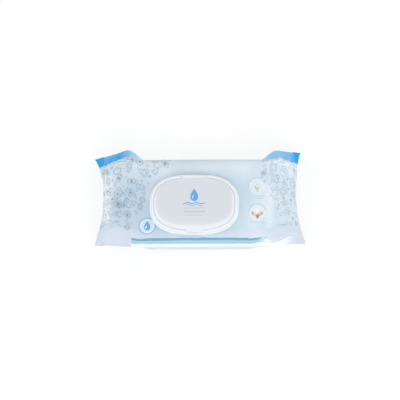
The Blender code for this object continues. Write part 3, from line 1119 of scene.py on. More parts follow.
@dataclass(frozen=True)
class FilmShape:
    """The tube of film: sections over its length, and the fins that close it.

    The back wall is drawn in by back_draw, its first value by the ears and its
    second in the middle. The web is the film's length round the pack.
    """

    height: float
    base: float = 0.5 * MM
    width: float = 97.0 * MM
    shift_y: float = -6.1 * MM
    root: float = 105.5 * MM
    round_length: float = 20.0 * MM
    round_arc: float = 27.0 * MM
    shoulder: float = 8.0 * MM
    base_reach: float = 10.0 * MM
    wall_level: float = 28.0 * MM
    ear_reach: float = 6.7 * MM
    ear_level: float = 27.0 * MM
    back_draw: Pair = (-0.4 * MM, 3.2 * MM)
    draw_fade: Pair = (20.0 * MM, 66.0 * MM)
    draw_middle: float = -12.0 * MM
    back_lead: float = 6.0 * MM
    facet_power: float = 1.7
    fin_level: float = 33.0 * MM
    fin_flat: float = 30.5 * MM
    fin_drop: float = 9.0 * MM
    fin_reach: float = 2.5 * MM
    fin_gap: float = 0.5 * MM
    fin_power: float = 2.5
    web: float = 266.0 * MM
    top_columns: int = 26
    base_columns: int = 28
    rows: int = 48
    arc_points: int = 40
    flat_points: int = 30
    left: End = End(
        side=Side.LEFT,
        ear_start=63.0 * MM,
        ear_peak=81.5 * MM,
        ear_rise=1.8 * MM,
        back=Corner(4.5 * MM, 3.9 * MM, 9.0 * MM, 14.6 * MM, 2.2 * MM, 4.0 * MM),
        front=Corner(4.5 * MM, 2.0 * MM, 9.0 * MM, 13.5 * MM, 0.4 * MM, 4.0 * MM),
    )
    right: End = End(
        side=Side.RIGHT,
        ear_start=71.0 * MM,
        ear_peak=87.5 * MM,
        ear_rise=0.6 * MM,
        back=Corner(1.5 * MM, 6.7 * MM, 15.0 * MM, 9.6 * MM, 6.5 * MM, 11.0 * MM),
        front=Corner(4.5 * MM, 1.4 * MM, 9.0 * MM, 13.4 * MM, -0.2 * MM, 4.0 * MM),
    )

    def ear(self, end: End, flank: Flank, x: float) -> float:
        """Return how far the ear has grown at a place. The back one begins sooner.

        Args:
            end: The end of the pack.
            flank: The long side.
            x: Distance from the middle.

        Returns:
            The share, 0 before the ear and 1 at its peak.
        """
        lead = self.back_lead if flank is Flank.BACK else 0.0
        return ease(end.ear_start - lead, end.ear_peak, x)

    def drawn(self, end: End, flank: Flank, x: float) -> float:
        """Return how far the back wall is drawn in between the ears, most in the middle.

        Args:
            end: The end of the pack.
            flank: The long side.
            x: Distance from the middle.

        Returns:
            The distance, 0 for the front wall.
        """
        if flank is Flank.FRONT:
            return 0.0
        middle = 1 - ease(*self.draw_fade, abs(end.side.value * x - self.draw_middle))
        return mix(*self.back_draw, middle) * (1 - self.ear(end, flank, x))

    def ridge(self, end: End, flank: Flank, x: float) -> Place:
        """Return the place of the side ridge, which becomes the ear's fold and the fin's corner.

        Args:
            end: The end of the pack.
            flank: The long side.
            x: Distance from the middle.

        Returns:
            Its (y, z).
        """
        direction = flank.value
        corner = end.corner(flank)
        rise = end.ear_rise if flank is Flank.BACK else 0.0
        ear = self.ear(end, flank, x)
        closing = max(0.0, (x - end.ear_peak) / (self.root - end.ear_peak))
        wall_y = self.shift_y + direction * self.width / 2 - self.drawn(end, flank, x)
        ear_y = direction * (self.width / 2 + self.ear_reach) + rise
        root_y = direction * (self.width / 2 + corner.root_side)
        y = mix(mix(wall_y, ear_y, ear), root_y, closing)
        z = mix(mix(self.wall_level, self.ear_level, ear), corner.root_z, closing)
        return y, z

    def facet(self, start: Place, end: Place, power: float) -> np.ndarray:
        """Return a quarter of a superellipse from one (y, z) point to another, level at its end.

        Args:
            start: The point on the side ridge.
            end: The point where the flat begins.
            power: 1 for an ellipse, and more for a flatter facet.

        Returns:
            The points.
        """
        angle = np.linspace(0, math.pi / 2, self.arc_points)
        cos = np.clip(np.cos(angle), 0, 1) ** power
        sin = np.sin(angle) ** power
        return np.stack([end[0] + (start[0] - end[0]) * cos, start[1] + (end[1] - start[1]) * sin], 1)

    def half_section(self, end: End, flank: Flank, distance: float) -> tuple[np.ndarray, np.ndarray]:
        """Return half of a cross-section, from the middle of the top round to the base.

        Args:
            end: The end of the pack that the section belongs to.
            flank: The long side.
            distance: Film length from the middle of the pack.

        Returns:
            The points, and the film's width from the middle of the top to each.
        """
        start = self.root - self.round_length
        turn = max(0.0, (distance - start) / self.round_arc) * math.pi / 2
        x = min(distance, start) + self.round_length * math.sin(turn)
        closing = 1 - math.cos(turn)
        power = mix(1.0, self.facet_power, self.ear(end, flank, x))
        ridge = self.ridge(end, flank, x)
        centre = mix(self.shift_y, 0, self.ear(end, Flank.FRONT, x))
        halves = []
        for reach, gap, level, draw in (
            (self.shoulder, self.fin_gap / 2, self.height, self.drawn(end, flank, x) / 2),
            (self.base_reach, -self.fin_gap / 2, self.base, 0.0),
        ):
            flat = mix(self.width / 2 - reach, self.fin_flat, closing)
            flat_y = centre + flank.value * flat - draw
            flat_z = mix(level, self.fin_level + gap, closing)
            arc = self.facet(ridge, (flat_y, flat_z), power)
            flat_row = np.linspace((flat_y, flat_z), (centre, flat_z), self.flat_points)[1:]
            halves.append(np.concatenate([arc, flat_row]))
        top = self.even(halves[0][::-1], self.top_columns)
        base = self.even(halves[1], self.base_columns)
        row = np.concatenate([top, base[1:]])
        steps = np.linalg.norm(np.diff(row, axis=0), axis=1)
        width = np.concatenate([[0], np.cumsum(steps)])
        share = np.abs((row[:, 0] - centre) / (ridge[0] - centre)) ** self.fin_power
        across = end.side.value * (x + end.corner(flank).root_out * closing * share)
        points = np.stack([across, row[:, 0], row[:, 1]], 1)
        return points, width * (self.web / 2 / width[-1])

    def arch(self, end: End, count: int) -> np.ndarray:
        """Return points along the closed end, from the front corner to the back one.

        Args:
            end: The end of the pack.
            count: Number of steps.

        Returns:
            count + 1 (y, z) points.
        """
        halves = []
        for flank in Flank:
            flat = (flank.value * self.fin_flat, self.fin_level)
            halves.append(self.facet(self.ridge(end, flank, self.root), flat, self.facet_power))
        front, back = halves
        return self.even(np.concatenate([front, back[::-1]]), count)

    def fin_point(self, end: End, y: float, z: float, reach: float) -> tuple[Vector, Vector]:
        """Return a point of a fin and the direction across the film there.

        Args:
            end: The end of the pack.
            y: Place on the arch that the fin starts from.
            z: Height of the arch there.
            reach: Share of the fin's length, 0 at the root and 1 at the tip.

        Returns:
            The point, and the unit vector that points up out of the film.
        """
        corner = end.corner(Flank.BACK if y > 0 else Flank.FRONT)
        share = min(1.0, abs(y) / (self.width / 2 + corner.root_side)) ** self.fin_power
        out = mix(self.fin_reach, corner.tip_out - corner.root_out, share)
        drop = mix(self.fin_drop, corner.root_z - corner.tip_z, share)
        aside = math.copysign(1, y) * (corner.tip_side - corner.root_side) * share
        x = self.root + corner.root_out * share + out * reach
        side = end.side.value
        point = Vector((side * x, y + aside * reach, z - drop * reach))
        return point, Vector((side * drop, 0, out)).normalized()

    @staticmethod
    def even(row: np.ndarray, count: int) -> np.ndarray:
        """Return points spaced evenly along a polyline.

        Args:
            row: The polyline's points.
            count: Number of steps.

        Returns:
            count + 1 points.
        """
        lengths = np.concatenate([[0], np.cumsum(np.linalg.norm(np.diff(row, axis=0), axis=1))])
        marks = np.linspace(0, lengths[-1], count + 1)
        return np.stack([np.interp(marks, lengths, row[:, axis]) for axis in range(row.shape[1])], 1)

    def lengths(self) -> np.ndarray:
        """Return the film length from the middle of each row, from the left end to the right."""
        half = self.root - self.round_length + self.round_arc
        return np.linspace(-half, half, 2 * self.rows + 1)

    def grid(self) -> tuple[np.ndarray, np.ndarray]:
        """Return the tube's points and its flat places.

        Returns:
            Two arrays with one row for each film length.
        """
        points = []
        places = []
        for length in self.lengths():
            end = self.left if length < 0 else self.right
            back, back_width = self.half_section(end, Flank.BACK, abs(length))
            front, front_width = self.half_section(end, Flank.FRONT, abs(length))
            points.append(np.concatenate([front[::-1], back[1:]]))
            widths = np.concatenate([-front_width[::-1], back_width[1:]])
            places.append(np.stack([np.full(len(widths), length), widths], 1))
        return np.array(points), np.array(places)


@dataclass
class FilmPack:
    """The film pack: the printed tube, its two crimped fins and the seam below.

    The foot is the middle and the half size of the lid frame, which holds the film.
    The cloth fields are in the units of Blender's Cloth, for a pack of ten times its size.
    The calm place, on the front ears, is where the folds are kept low.
    """

    shape: FilmShape
    foot: tuple[Vector, Vector]
    finish: PrintedFilm = field(default_factory=PrintedFilm)
    ridge_hold: float = 0.6
    loose_hold: float = 0.0
    stiffness: float = 60.0
    bending: float = 0.5
    pressure: float = 1.0
    mass: float = 0.3
    damping: float = 10.0
    cloth_gap: float = 0.004
    pin: float = 5.0
    steps: int = 8
    frames: int = 30
    cap: float = 8 * MM
    front_calm: float = 0.8
    calm_from: Pair = (56 * MM, -30 * MM)
    calm_fade: float = 10 * MM
    stack_gap: float = 0.8 * MM
    stack_reach: float = 4 * MM
    stack_rounding: float = 6 * MM
    stack_draw: float = 0.7
    crimp_ridges: int = 80
    crimp_depth: float = 0.3 * MM
    crimp_from: Pair = (0.12, 0.2)
    tooth_columns: int = 4
    tooth_depth: float = 0.1
    fin_rows: int = 10
    fin_overlap: float = -0.08
    fin_wave: float = 0.5 * MM
    fin_length: float = 9 * MM
    fin_thickness: float = 0.3 * MM
    seam_columns: int = 4
    seam_lift: float = 0.25 * MM
    pieces: list[bpy.types.Object] = field(default_factory=list)

    def tube(self) -> bpy.types.Object:
        """Build the tube from a grid wrapped round the sections.

        Returns:
            The tube, with its print map and its attributes for the cloth.
        """
        points, places = self.shape.grid()
        rows, columns = points.shape[0] - 1, points.shape[1] - 1
        mesh_data = bmesh.new()
        bmesh.ops.create_grid(mesh_data, x_segments=rows, y_segments=columns, size=0.5)
        layer = mesh_data.loops.layers.uv.new(PRINT_MAP)
        flat = mesh_data.verts.layers.float_vector.new("flat")
        hold = mesh_data.verts.layers.float.new("hold")
        cell = mesh_data.verts.layers.int.new("cell")
        radius = self.shape.web / math.tau
        for vertex in mesh_data.verts:
            row = round((vertex.co.x + 0.5) * rows)
            column = round((vertex.co.y + 0.5) * columns)
            vertex.co = points[row, column]
            u, v = places[row, column]
            vertex[cell] = row * (columns + 1) + column
            vertex[flat] = (u, radius * math.sin(v / radius), radius * math.cos(v / radius))
            vertex[hold] = self.grip(row, column, rows, vertex.co)
            for loop in vertex.link_loops:
                loop[layer].uv = (u, v)
        bmesh.ops.remove_doubles(mesh_data, verts=mesh_data.verts, dist=0.00001)
        bmesh.ops.recalc_face_normals(mesh_data, faces=mesh_data.faces)
        return link("film_tube", mesh_data)

    def grip(self, row: int, column: int, rows: int, point: Vector) -> float:
        """Return how firmly a point of the tube stays in place.

        Args:
            row: Its row along the pack.
            column: Its column round the pack.
            rows: Number of the last row.
            point: Its place.

        Returns:
            The share, 0 to 1.
        """
        middle, half = self.foot
        reach = math.hypot((point.x - middle.x) / half.x, (point.y - middle.y) / half.y)
        if row in (0, rows) or (point.z > self.shape.height - 0.5 * MM and reach < 1.0):
            return 1.0
        ridges = (self.shape.base_columns, self.shape.base_columns + 2 * self.shape.top_columns)
        if column in ridges and abs(point.x) > self.shape.left.ear_start:
            return self.ridge_hold
        return self.loose_hold

    def block(self, name: str, low: Vector, high: Vector, rounding: float) -> bpy.types.Object:
        """Add a rounded block, ten times its size, that the cloth can't pass.

        Args:
            name: The block's name.
            low: Its lowest corner.
            high: Its highest corner.
            rounding: Radius of its edges, or 0.

        Returns:
            The block.
        """
        mesh_data = bmesh.new()
        bmesh.ops.create_cube(mesh_data, size=1.0)
        bmesh.ops.scale(mesh_data, vec=(high - low) * CLOTH_SCALE, verts=mesh_data.verts)
        bmesh.ops.translate(mesh_data, vec=(low + high) * (CLOTH_SCALE / 2), verts=mesh_data.verts)
        if rounding:
            bmesh.ops.bevel(
                mesh_data, geom=mesh_data.edges, offset=rounding * CLOTH_SCALE, segments=4, profile=0.5,
                affect="EDGES", material=-1,
            )
        item = link(name, mesh_data)
        item.modifiers.new("Collision", "COLLISION")
        item.collision.thickness_outer = self.cloth_gap
        item.collision.cloth_friction = 2.0
        return item

    def settle(self, tube: bpy.types.Object) -> None:
        """Let the film find its folds as cloth over the stack, and apply the result.

        Args:
            tube: The tube, whose mesh is changed.
        """
        mesh = tube.data
        start = read(mesh.vertices, "co", 3)
        flat = read(mesh.attributes["flat"].data, "vector", 3)
        hold = read(mesh.attributes["hold"].data, "value")
        mesh.vertices.foreach_set("co", start * CLOTH_SCALE)
        tube.shape_key_add(name="packed")
        rest = tube.shape_key_add(name="flat")
        rest.data.foreach_set("co", flat * CLOTH_SCALE)
        group = tube.vertex_groups.new(name="hold")
        for index, weight in enumerate(hold):
            group.add([index], weight, "REPLACE")
        blocks = self.blocks()
        cloth = self.cloth(tube, rest)
        scene = bpy.context.scene
        for number in range(1, self.frames + 1):
            scene.frame_set(number)
        settled = tube.evaluated_get(bpy.context.evaluated_depsgraph_get())
        found = read(settled.data.vertices, "co", 3)
        tube.modifiers.remove(cloth)
        tube.shape_key_clear()
        tube.vertex_groups.clear()
        for item in blocks:
            bpy.data.objects.remove(item, do_unlink=True)
        scene.frame_set(1)
        place = start.reshape(-1, 3)
        moved = (found / CLOTH_SCALE - start).reshape(-1, 3)
        mesh.vertices.foreach_set("co", self.capped(place, moved).ravel())
        mesh.update()

    def blocks(self) -> tuple[bpy.types.Object, bpy.types.Object]:
        """Add the stack of wipes and the ground, which stop the cloth.

        Returns:
            The two blocks.
        """
        shape = self.shape
        gap = self.stack_gap
        half = Vector((shape.root - shape.round_length + self.stack_reach, shape.width / 2 - gap, 0))
        back = shape.shift_y + half.y - shape.back_draw[1] * self.stack_draw
        low = Vector((-half.x, shape.shift_y - half.y, gap))
        high = Vector((half.x, back, shape.height - gap))
        stack = self.block("stack", low, high, self.stack_rounding)
        ground = self.block("ground", Vector((-0.2, -0.2, -0.05)), Vector((0.2, 0.2, 0.0)), 0)
        return stack, ground

    def cloth(self, tube: bpy.types.Object, rest: bpy.types.ShapeKey) -> bpy.types.Modifier:
        """Make the tube a cloth.

        Args:
            tube: The tube.
            rest: The shape that the film strives for, the flat web rolled into a cylinder.

        Returns:
            The Cloth modifier.
        """
        cloth = tube.modifiers.new("Cloth", "CLOTH")
        adjust(
            cloth.settings,
            quality=self.steps,
            mass=self.mass,
            air_damping=1.0,
            tension_stiffness=self.stiffness,
            compression_stiffness=self.stiffness,
            shear_stiffness=self.stiffness / 2,
            bending_stiffness=self.bending,
            tension_damping=self.damping,
            compression_damping=self.damping,
            shear_damping=self.damping,
            bending_damping=2,
            use_pressure=True,
            uniform_pressure_force=self.pressure,
            vertex_group_mass="hold",
            pin_stiffness=self.pin,
            rest_shape_key=rest,
        )
        cloth.settings.effector_weights.gravity = 0.0
        adjust(cloth.collision_settings, use_collision=True, distance_min=self.cloth_gap, collision_quality=3)
        adjust(cloth.point_cache, frame_start=1, frame_end=self.frames)
        return cloth

    def capped(self, place: np.ndarray, moved: np.ndarray) -> np.ndarray:
        """Return the settled points, with their way capped, calmed in front and kept off the ground.

        Args:
            place: The points before the simulation.
            moved: How far each has moved.

        Returns:
            The new points.
        """
        length = np.linalg.norm(moved, axis=1)
        LOG.info("film moved %.2f mm on average, %.2f mm at most", length.mean() / MM, length.max() / MM)
        limit = self.cap / np.maximum(length, self.cap)
        from_x, from_y = self.calm_from
        near = np.clip((np.abs(place[:, 0]) - from_x) / self.calm_fade, 0, 1)
        front = np.clip((from_y - place[:, 1]) / self.calm_fade, 0, 1)
        limit *= 1 - self.front_calm * near * front
        placed = place + moved * limit[:, None]
        placed[:, 2] = np.maximum(placed[:, 2], self.shape.base)
        return placed

    def fin(self, name: str, end: End) -> bpy.types.Object:
        """Build a crimped fin: two welded layers with knurled ridges and a zigzag edge.

        Args:
            name: The fin's name.
            end: The end of the pack.

        Returns:
            The fin.
        """
        shape = self.shape
        half_tooth = self.tooth_columns / 2
        columns = self.crimp_ridges * self.tooth_columns
        arch = shape.arch(end, columns)
        root = shape.lengths()[-1]
        half = shape.web / 4
        side = end.side.value
        mesh_data = bmesh.new()
        bmesh.ops.create_grid(mesh_data, x_segments=columns, y_segments=self.fin_rows, size=0.5)
        layer = mesh_data.loops.layers.uv.new(PRINT_MAP)
        for vertex in mesh_data.verts:
            across = vertex.co.x + 0.5
            reach = vertex.co.y + 0.5
            column = round(across * columns)
            tooth = 1 - abs(column % self.tooth_columns - half_tooth) / half_tooth
            flap = mix(self.fin_overlap, 1 - self.tooth_depth * tooth, reach)
            point, normal = shape.fin_point(end, *arch[column], flap)
            wave = math.sin(across * 19 + side) * 0.5 + math.sin(across * 43 + 2) * 0.3
            swell = self.fin_wave * wave * reach * reach
            knurl = self.crimp_depth * (tooth - 0.5) * ease(*self.crimp_from, reach)
            vertex.co = point + normal * (swell + knurl)
            for loop in vertex.link_loops:
                loop[layer].uv = (side * (root + self.fin_length * reach), mix(-half, half, across))
        bmesh.ops.recalc_face_normals(mesh_data, faces=mesh_data.faces)
        return self.sheet(name, mesh_data)

    def sheet(self, name: str, mesh_data: bmesh.types.BMesh) -> bpy.types.Object:
        """Link a sheet and give it its thickness.

        Args:
            name: The piece's name.
            mesh_data: Its middle surface.

        Returns:
            The piece.
        """
        item = link(name, mesh_data)
        adjust(item.modifiers.new("Solidify", "SOLIDIFY"), thickness=self.fin_thickness, offset=0.0)
        return item

    def seam(self, tube: bpy.types.Object) -> bpy.types.Object:
        """Build the lengthwise seal, folded flat against the underside of the tube.

        Args:
            tube: The settled tube.

        Returns:
            The seal.
        """
        points, places = self.shape.grid()
        rows = points.shape[0] - 1
        cells = read(tube.data.attributes["cell"].data, "value", kind=int)
        points.reshape(-1, 3)[cells] = read(tube.data.vertices, "co", 3).reshape(-1, 3)
        points[:, -1] = points[:, 0]
        strip = points[:, : self.seam_columns + 1]
        along = np.gradient(strip, axis=0)
        across = np.gradient(strip, axis=1)
        normal = np.cross(along, across)
        normal /= np.linalg.norm(normal, axis=2)[..., None]
        normal *= np.where(normal[..., 2:].mean() > 0, -1, 1)
        mesh_data = bmesh.new()
        bmesh.ops.create_grid(mesh_data, x_segments=rows, y_segments=self.seam_columns, size=0.5)
        layer = mesh_data.loops.layers.uv.new(PRINT_MAP)
        for vertex in mesh_data.verts:
            row = round((vertex.co.x + 0.5) * rows)
            column = round((vertex.co.y + 0.5) * self.seam_columns)
            vertex.co = strip[row, column] + normal[row, column] * self.seam_lift
            for loop in vertex.link_loops:
                loop[layer].uv = places[row, column]
        bmesh.ops.recalc_face_normals(mesh_data, faces=mesh_data.faces)
        return self.sheet("seam_fold", mesh_data)

    def build(self) -> None:
        """Build and dress the pieces."""
        tube = self.tube()
        self.settle(tube)
        seam = self.seam(tube)
        fins = [self.fin("left_fin", self.shape.left), self.fin("right_fin", self.shape.right)]
        for item in (tube, seam):
            adjust(item.modifiers.new("Subdivision", "SUBSURF"), levels=1, render_levels=1)
        for name in ("flat", "hold", "cell"):
            tube.data.attributes.remove(tube.data.attributes[name])
        film = self.finish.material()
        for item in (tube, seam, *fins):
            item.data.materials.append(film)
            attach(item, "pack")
            self.pieces.append(item)
        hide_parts("film_pack")


# Lid and frame


@dataclass(frozen=True)
class Moulding:
    """Sizes that the lid and its frame share.

    Insets count from the frame's outline, and heights from its foot.
    """

    centre: Vector
    half: Vector
    foot: float
    steps: int = 240
    power: float = 2.7
    flange_height: float = 0.7 * MM
    flange_reach: float = 1.1 * MM
    rim_height: float = 5.4 * MM
    rim_inset: float = 4.35 * MM
    rim_draft: float = 0.8 * MM
    ledge_height: float = 2.6 * MM
    ledge_width: float = 1.9 * MM
    floor: float = 1.2 * MM
    opening: Pair = (31.0 * MM, 17.0 * MM)
    opening_power: float = 2.4
    collar_wall: float = 1.4 * MM
    collar_height: float = 4.6 * MM
    lid_clearance: float = 0.25 * MM
    lid_rise: float = 1.9 * MM
    lid_wall: float = 1.2 * MM
    skirt_wall: float = 1.1 * MM
    gap: float = 0.3 * MM
    tongue_half: float = 13.2 * MM
    tongue_gap: float = 0.4 * MM
    tongue_thickness: float = 0.8 * MM
    tab_half: float = 9.2 * MM
    tab_inset: float = 2.1 * MM
    tab_thickness: float = 0.9 * MM
    scoop_radius: float = 36.0 * MM
    scoop_depth: float = 2.7 * MM
    scoop_margin: float = 0.9 * MM

    @classmethod
    def from_frame(cls) -> "Moulding":
        """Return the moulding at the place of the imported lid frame."""
        low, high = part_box("lid_frame")
        return cls(centre=(low + high) / 2, half=(high - low) / 2, foot=low.z)

    def ring(self, half_x: float, half_y: float, z: float, power: float, shift: float = 0.0) -> np.ndarray:
        """Return a superellipse round the frame's centre.

        Args:
            half_x: Half of its length.
            half_y: Half of its width.
            z: Its height over the frame's foot.
            power: 2 for an ellipse, and more for squarer corners.
            shift: How far it lies to the back.

        Returns:
            Its points.
        """
        angle = np.linspace(0, math.tau, self.steps, endpoint=False)
        cos, sin = np.cos(angle), np.sin(angle)
        x = np.sign(cos) * np.abs(cos) ** (2 / power) * half_x + self.centre.x
        y = np.sign(sin) * np.abs(sin) ** (2 / power) * half_y + self.centre.y + shift
        return np.stack([x, y, np.full(self.steps, self.foot + z)], 1)

    def outline(self, inset: float, z: float) -> np.ndarray:
        """Return the frame's outline moved in by an inset."""
        return self.ring(self.half.x - inset, self.half.y - inset, z, self.power)

    def outlines(self, *pairs: Pair) -> list[np.ndarray]:
        """Return the frame's outline at each pair of inset and height."""
        return [self.outline(inset, z) for inset, z in pairs]

    def mouths(self, *pairs: Pair) -> list[np.ndarray]:
        """Return the opening's outline at each pair of outset and height."""
        long, short = self.opening
        return [self.ring(long + outset, short + outset, z, self.opening_power) for outset, z in pairs]

    def loft(self, rings: list[np.ndarray], closed: bool) -> bmesh.types.BMesh:
        """Extrude a circle through rings.

        Args:
            rings: The rings in order.
            closed: Whether the last ring meets the first; otherwise both ends close to a point.

        Returns:
            The mesh.
        """
        mesh_data = bmesh.new()
        order = mesh_data.verts.layers.int.new("order")
        verts = bmesh.ops.create_circle(mesh_data, cap_ends=False, segments=self.steps, radius=1.0)["verts"]
        for index, vertex in enumerate(verts):
            vertex[order] = index
            vertex.co = rings[0][index]
        edges = list(mesh_data.edges)
        first = verts
        for ring in rings[1:]:
            grown = bmesh.ops.extrude_edge_only(mesh_data, edges=edges)["geom"]
            verts = only(grown, bmesh.types.BMVert)
            new = set(verts)
            edges = [edge for edge in only(grown, bmesh.types.BMEdge) if new.issuperset(edge.verts)]
            for vertex in verts:
                vertex.co = ring[vertex[order]]
        if closed:
            bmesh.ops.remove_doubles(mesh_data, verts=mesh_data.verts, dist=0.000001)
        else:
            for end, ring in ((first, rings[0]), (verts, rings[-1])):
                bmesh.ops.pointmerge(mesh_data, verts=end, merge_co=Vector(ring.mean(axis=0)))
        bmesh.ops.recalc_face_normals(mesh_data, faces=mesh_data.faces)
        return mesh_data

    def prism(self, name: str, outline: list[Place], half: float, rounding: float = 0) -> bpy.types.Object:
        """Extrude an outline along X to both sides of the centre.

        Args:
            name: The prism's name.
            outline: Its (y, z) corners.
            half: Half of its length.
            rounding: Radius of its end faces' edges, or 0.

        Returns:
            The prism.
        """
        mesh_data = bmesh.new()
        verts = [mesh_data.verts.new((self.centre.x - half, y, z)) for y, z in outline]
        grown = bmesh.ops.extrude_face_region(mesh_data, geom=[mesh_data.faces.new(verts)])["geom"]
        bmesh.ops.translate(mesh_data, verts=only(grown, bmesh.types.BMVert), vec=(2 * half, 0, 0))
        if rounding:
            ends = [
                edge for edge in mesh_data.edges if abs(edge.verts[0].co.x - edge.verts[1].co.x) < 0.5 * half
            ]
            bmesh.ops.bevel(
                mesh_data, geom=ends, offset=rounding, segments=3, profile=0.5, affect="EDGES", material=-1
            )
        bmesh.ops.recalc_face_normals(mesh_data, faces=mesh_data.faces)
        return link(name, mesh_data)


def carve(item: bpy.types.Object, cut: Cut, tools: list[bpy.types.Object], angle: float = 0.6) -> None:
    """Apply exact Booleans to an object, remove the tools and shade it smooth.

    Args:
        item: The object.
        cut: What the Booleans do with the tools.
        tools: The tools.
        angle: Radians past which an edge stays sharp.
    """
    for tool in tools:
        modifier = item.modifiers.new(tool.name, "BOOLEAN")
        adjust(modifier, object=tool, operation=cut.value, solver="EXACT")
    shaped = item.evaluated_get(bpy.context.evaluated_depsgraph_get())
    mesh = bpy.data.meshes.new_from_object(shaped)
    mesh.name = item.name
    item.modifiers.clear()
    item.data = mesh
    for tool in tools:
        bpy.data.objects.remove(tool, do_unlink=True)
    mesh.shade_smooth()
    mesh.set_sharp_from_angle(angle=angle)


@dataclass
class LidFrame:
    """The moulded frame round the dispensing opening."""

    sizes: Moulding
    finish: LidPlastic

    def rings(self) -> list[np.ndarray]:
        """Return the section, from the foot's outer edge over the rim and collar to the underside.

        Returns:
            The rings in order.
        """
        m = self.sizes
        wall = m.flange_reach + 0.3 * MM
        outer = wall + m.rim_draft
        ledge_end = m.rim_inset + m.ledge_width
        rim = m.rim_height
        edge = 0.3 * MM
        rows = m.outlines(
            (0.3 * MM, 0), (0.08 * MM, 0.1 * MM), (0, 0.3 * MM),
            (0, m.flange_height - 0.1 * MM), (0.1 * MM, m.flange_height + 0.1 * MM),
            (0.35 * MM, m.flange_height + 0.25 * MM),
            (m.flange_reach - 0.2 * MM, m.flange_height + 0.32 * MM),
            (m.flange_reach + 0.1 * MM, m.flange_height + 0.5 * MM),
            (wall, m.flange_height + 1.0 * MM), (outer - 0.25 * MM, rim - 1.5 * MM),
        )
        for step in range(1, 8):
            turn = step / 8 * math.pi / 2
            inset = outer - 0.2 * MM + 1.0 * MM * (1 - math.cos(turn))
            rows.append(m.outline(inset, rim - 1.0 * MM * (1 - math.sin(turn))))
        rows += m.outlines(
            (outer + 0.8 * MM, rim), (m.rim_inset - edge, rim),
            (m.rim_inset - 0.10 * MM, rim - 0.03 * MM), (m.rim_inset - 0.03 * MM, rim - 0.10 * MM),
            (m.rim_inset, rim - edge), (m.rim_inset, m.ledge_height + 0.1 * MM),
            (m.rim_inset + 0.1 * MM, m.ledge_height), (ledge_end - 0.15 * MM, m.ledge_height),
            (ledge_end, m.ledge_height - 0.15 * MM), (ledge_end + 0.35 * MM, m.floor + 0.15 * MM),
            (ledge_end + 0.5 * MM, m.floor),
        )
        rows += m.mouths(
            (m.collar_wall + 0.4 * MM, m.floor), (m.collar_wall + 0.1 * MM, m.floor + 0.15 * MM),
            (m.collar_wall, m.collar_height - edge),
            (m.collar_wall - 0.12 * MM, m.collar_height - 0.12 * MM),
            (m.collar_wall - edge, m.collar_height), (edge, m.collar_height),
            (0.12 * MM, m.collar_height - 0.12 * MM), (0, m.collar_height - edge),
            (0, 0.2 * MM), (0.2 * MM, 0),
        )
        return rows + m.outlines((0.3 * MM, 0))

    def tongue_gap(self) -> bpy.types.Object:
        """Return the cutter that opens the rim for the hinge tongue.

        Returns:
            The cutter.
        """
        m = self.sizes
        back = m.centre.y + m.half.y + 1 * MM
        front = m.centre.y + m.half.y - m.rim_inset - 0.5 * MM
        low = HINGE.z - m.tongue_thickness - m.gap
        high = m.foot + m.rim_height + 1 * MM
        outline = [(front, low), (back, low), (back, high), (front, high)]
        return m.prism("tongue_gap", outline, m.tongue_half + m.tongue_gap)

    def scoop(self) -> bpy.types.Object:
        """Return the round cutter that dips the rim under the thumb tab.

        Returns:
            The cutter.
        """
        m = self.sizes
        mesh_data = bmesh.new()
        bmesh.ops.create_cone(
            mesh_data,
            cap_ends=True,
            segments=256,
            radius1=m.scoop_radius,
            radius2=m.scoop_radius,
            depth=m.rim_inset + 2 * m.scoop_margin,
        )
        bmesh.ops.rotate(mesh_data, verts=mesh_data.verts, matrix=Matrix.Rotation(math.pi / 2, 3, "X"))
        place = (
            m.centre.x,
            m.centre.y - m.half.y + m.rim_inset / 2,
            m.foot + m.rim_height + m.scoop_radius - m.scoop_depth,
        )
        bmesh.ops.translate(mesh_data, verts=mesh_data.verts, vec=place)
        return link("scoop", mesh_data)

    def build(self) -> bpy.types.Object:
        """Build and dress the frame.

        Returns:
            The frame.
        """
        item = link("flip_frame", self.sizes.loft(self.rings(), closed=True))
        carve(item, Cut.REMOVE, [self.tongue_gap(), self.scoop()])
        item.data.materials.append(self.finish.material())
        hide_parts("lid_frame")
        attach(item, "pack")
        return item


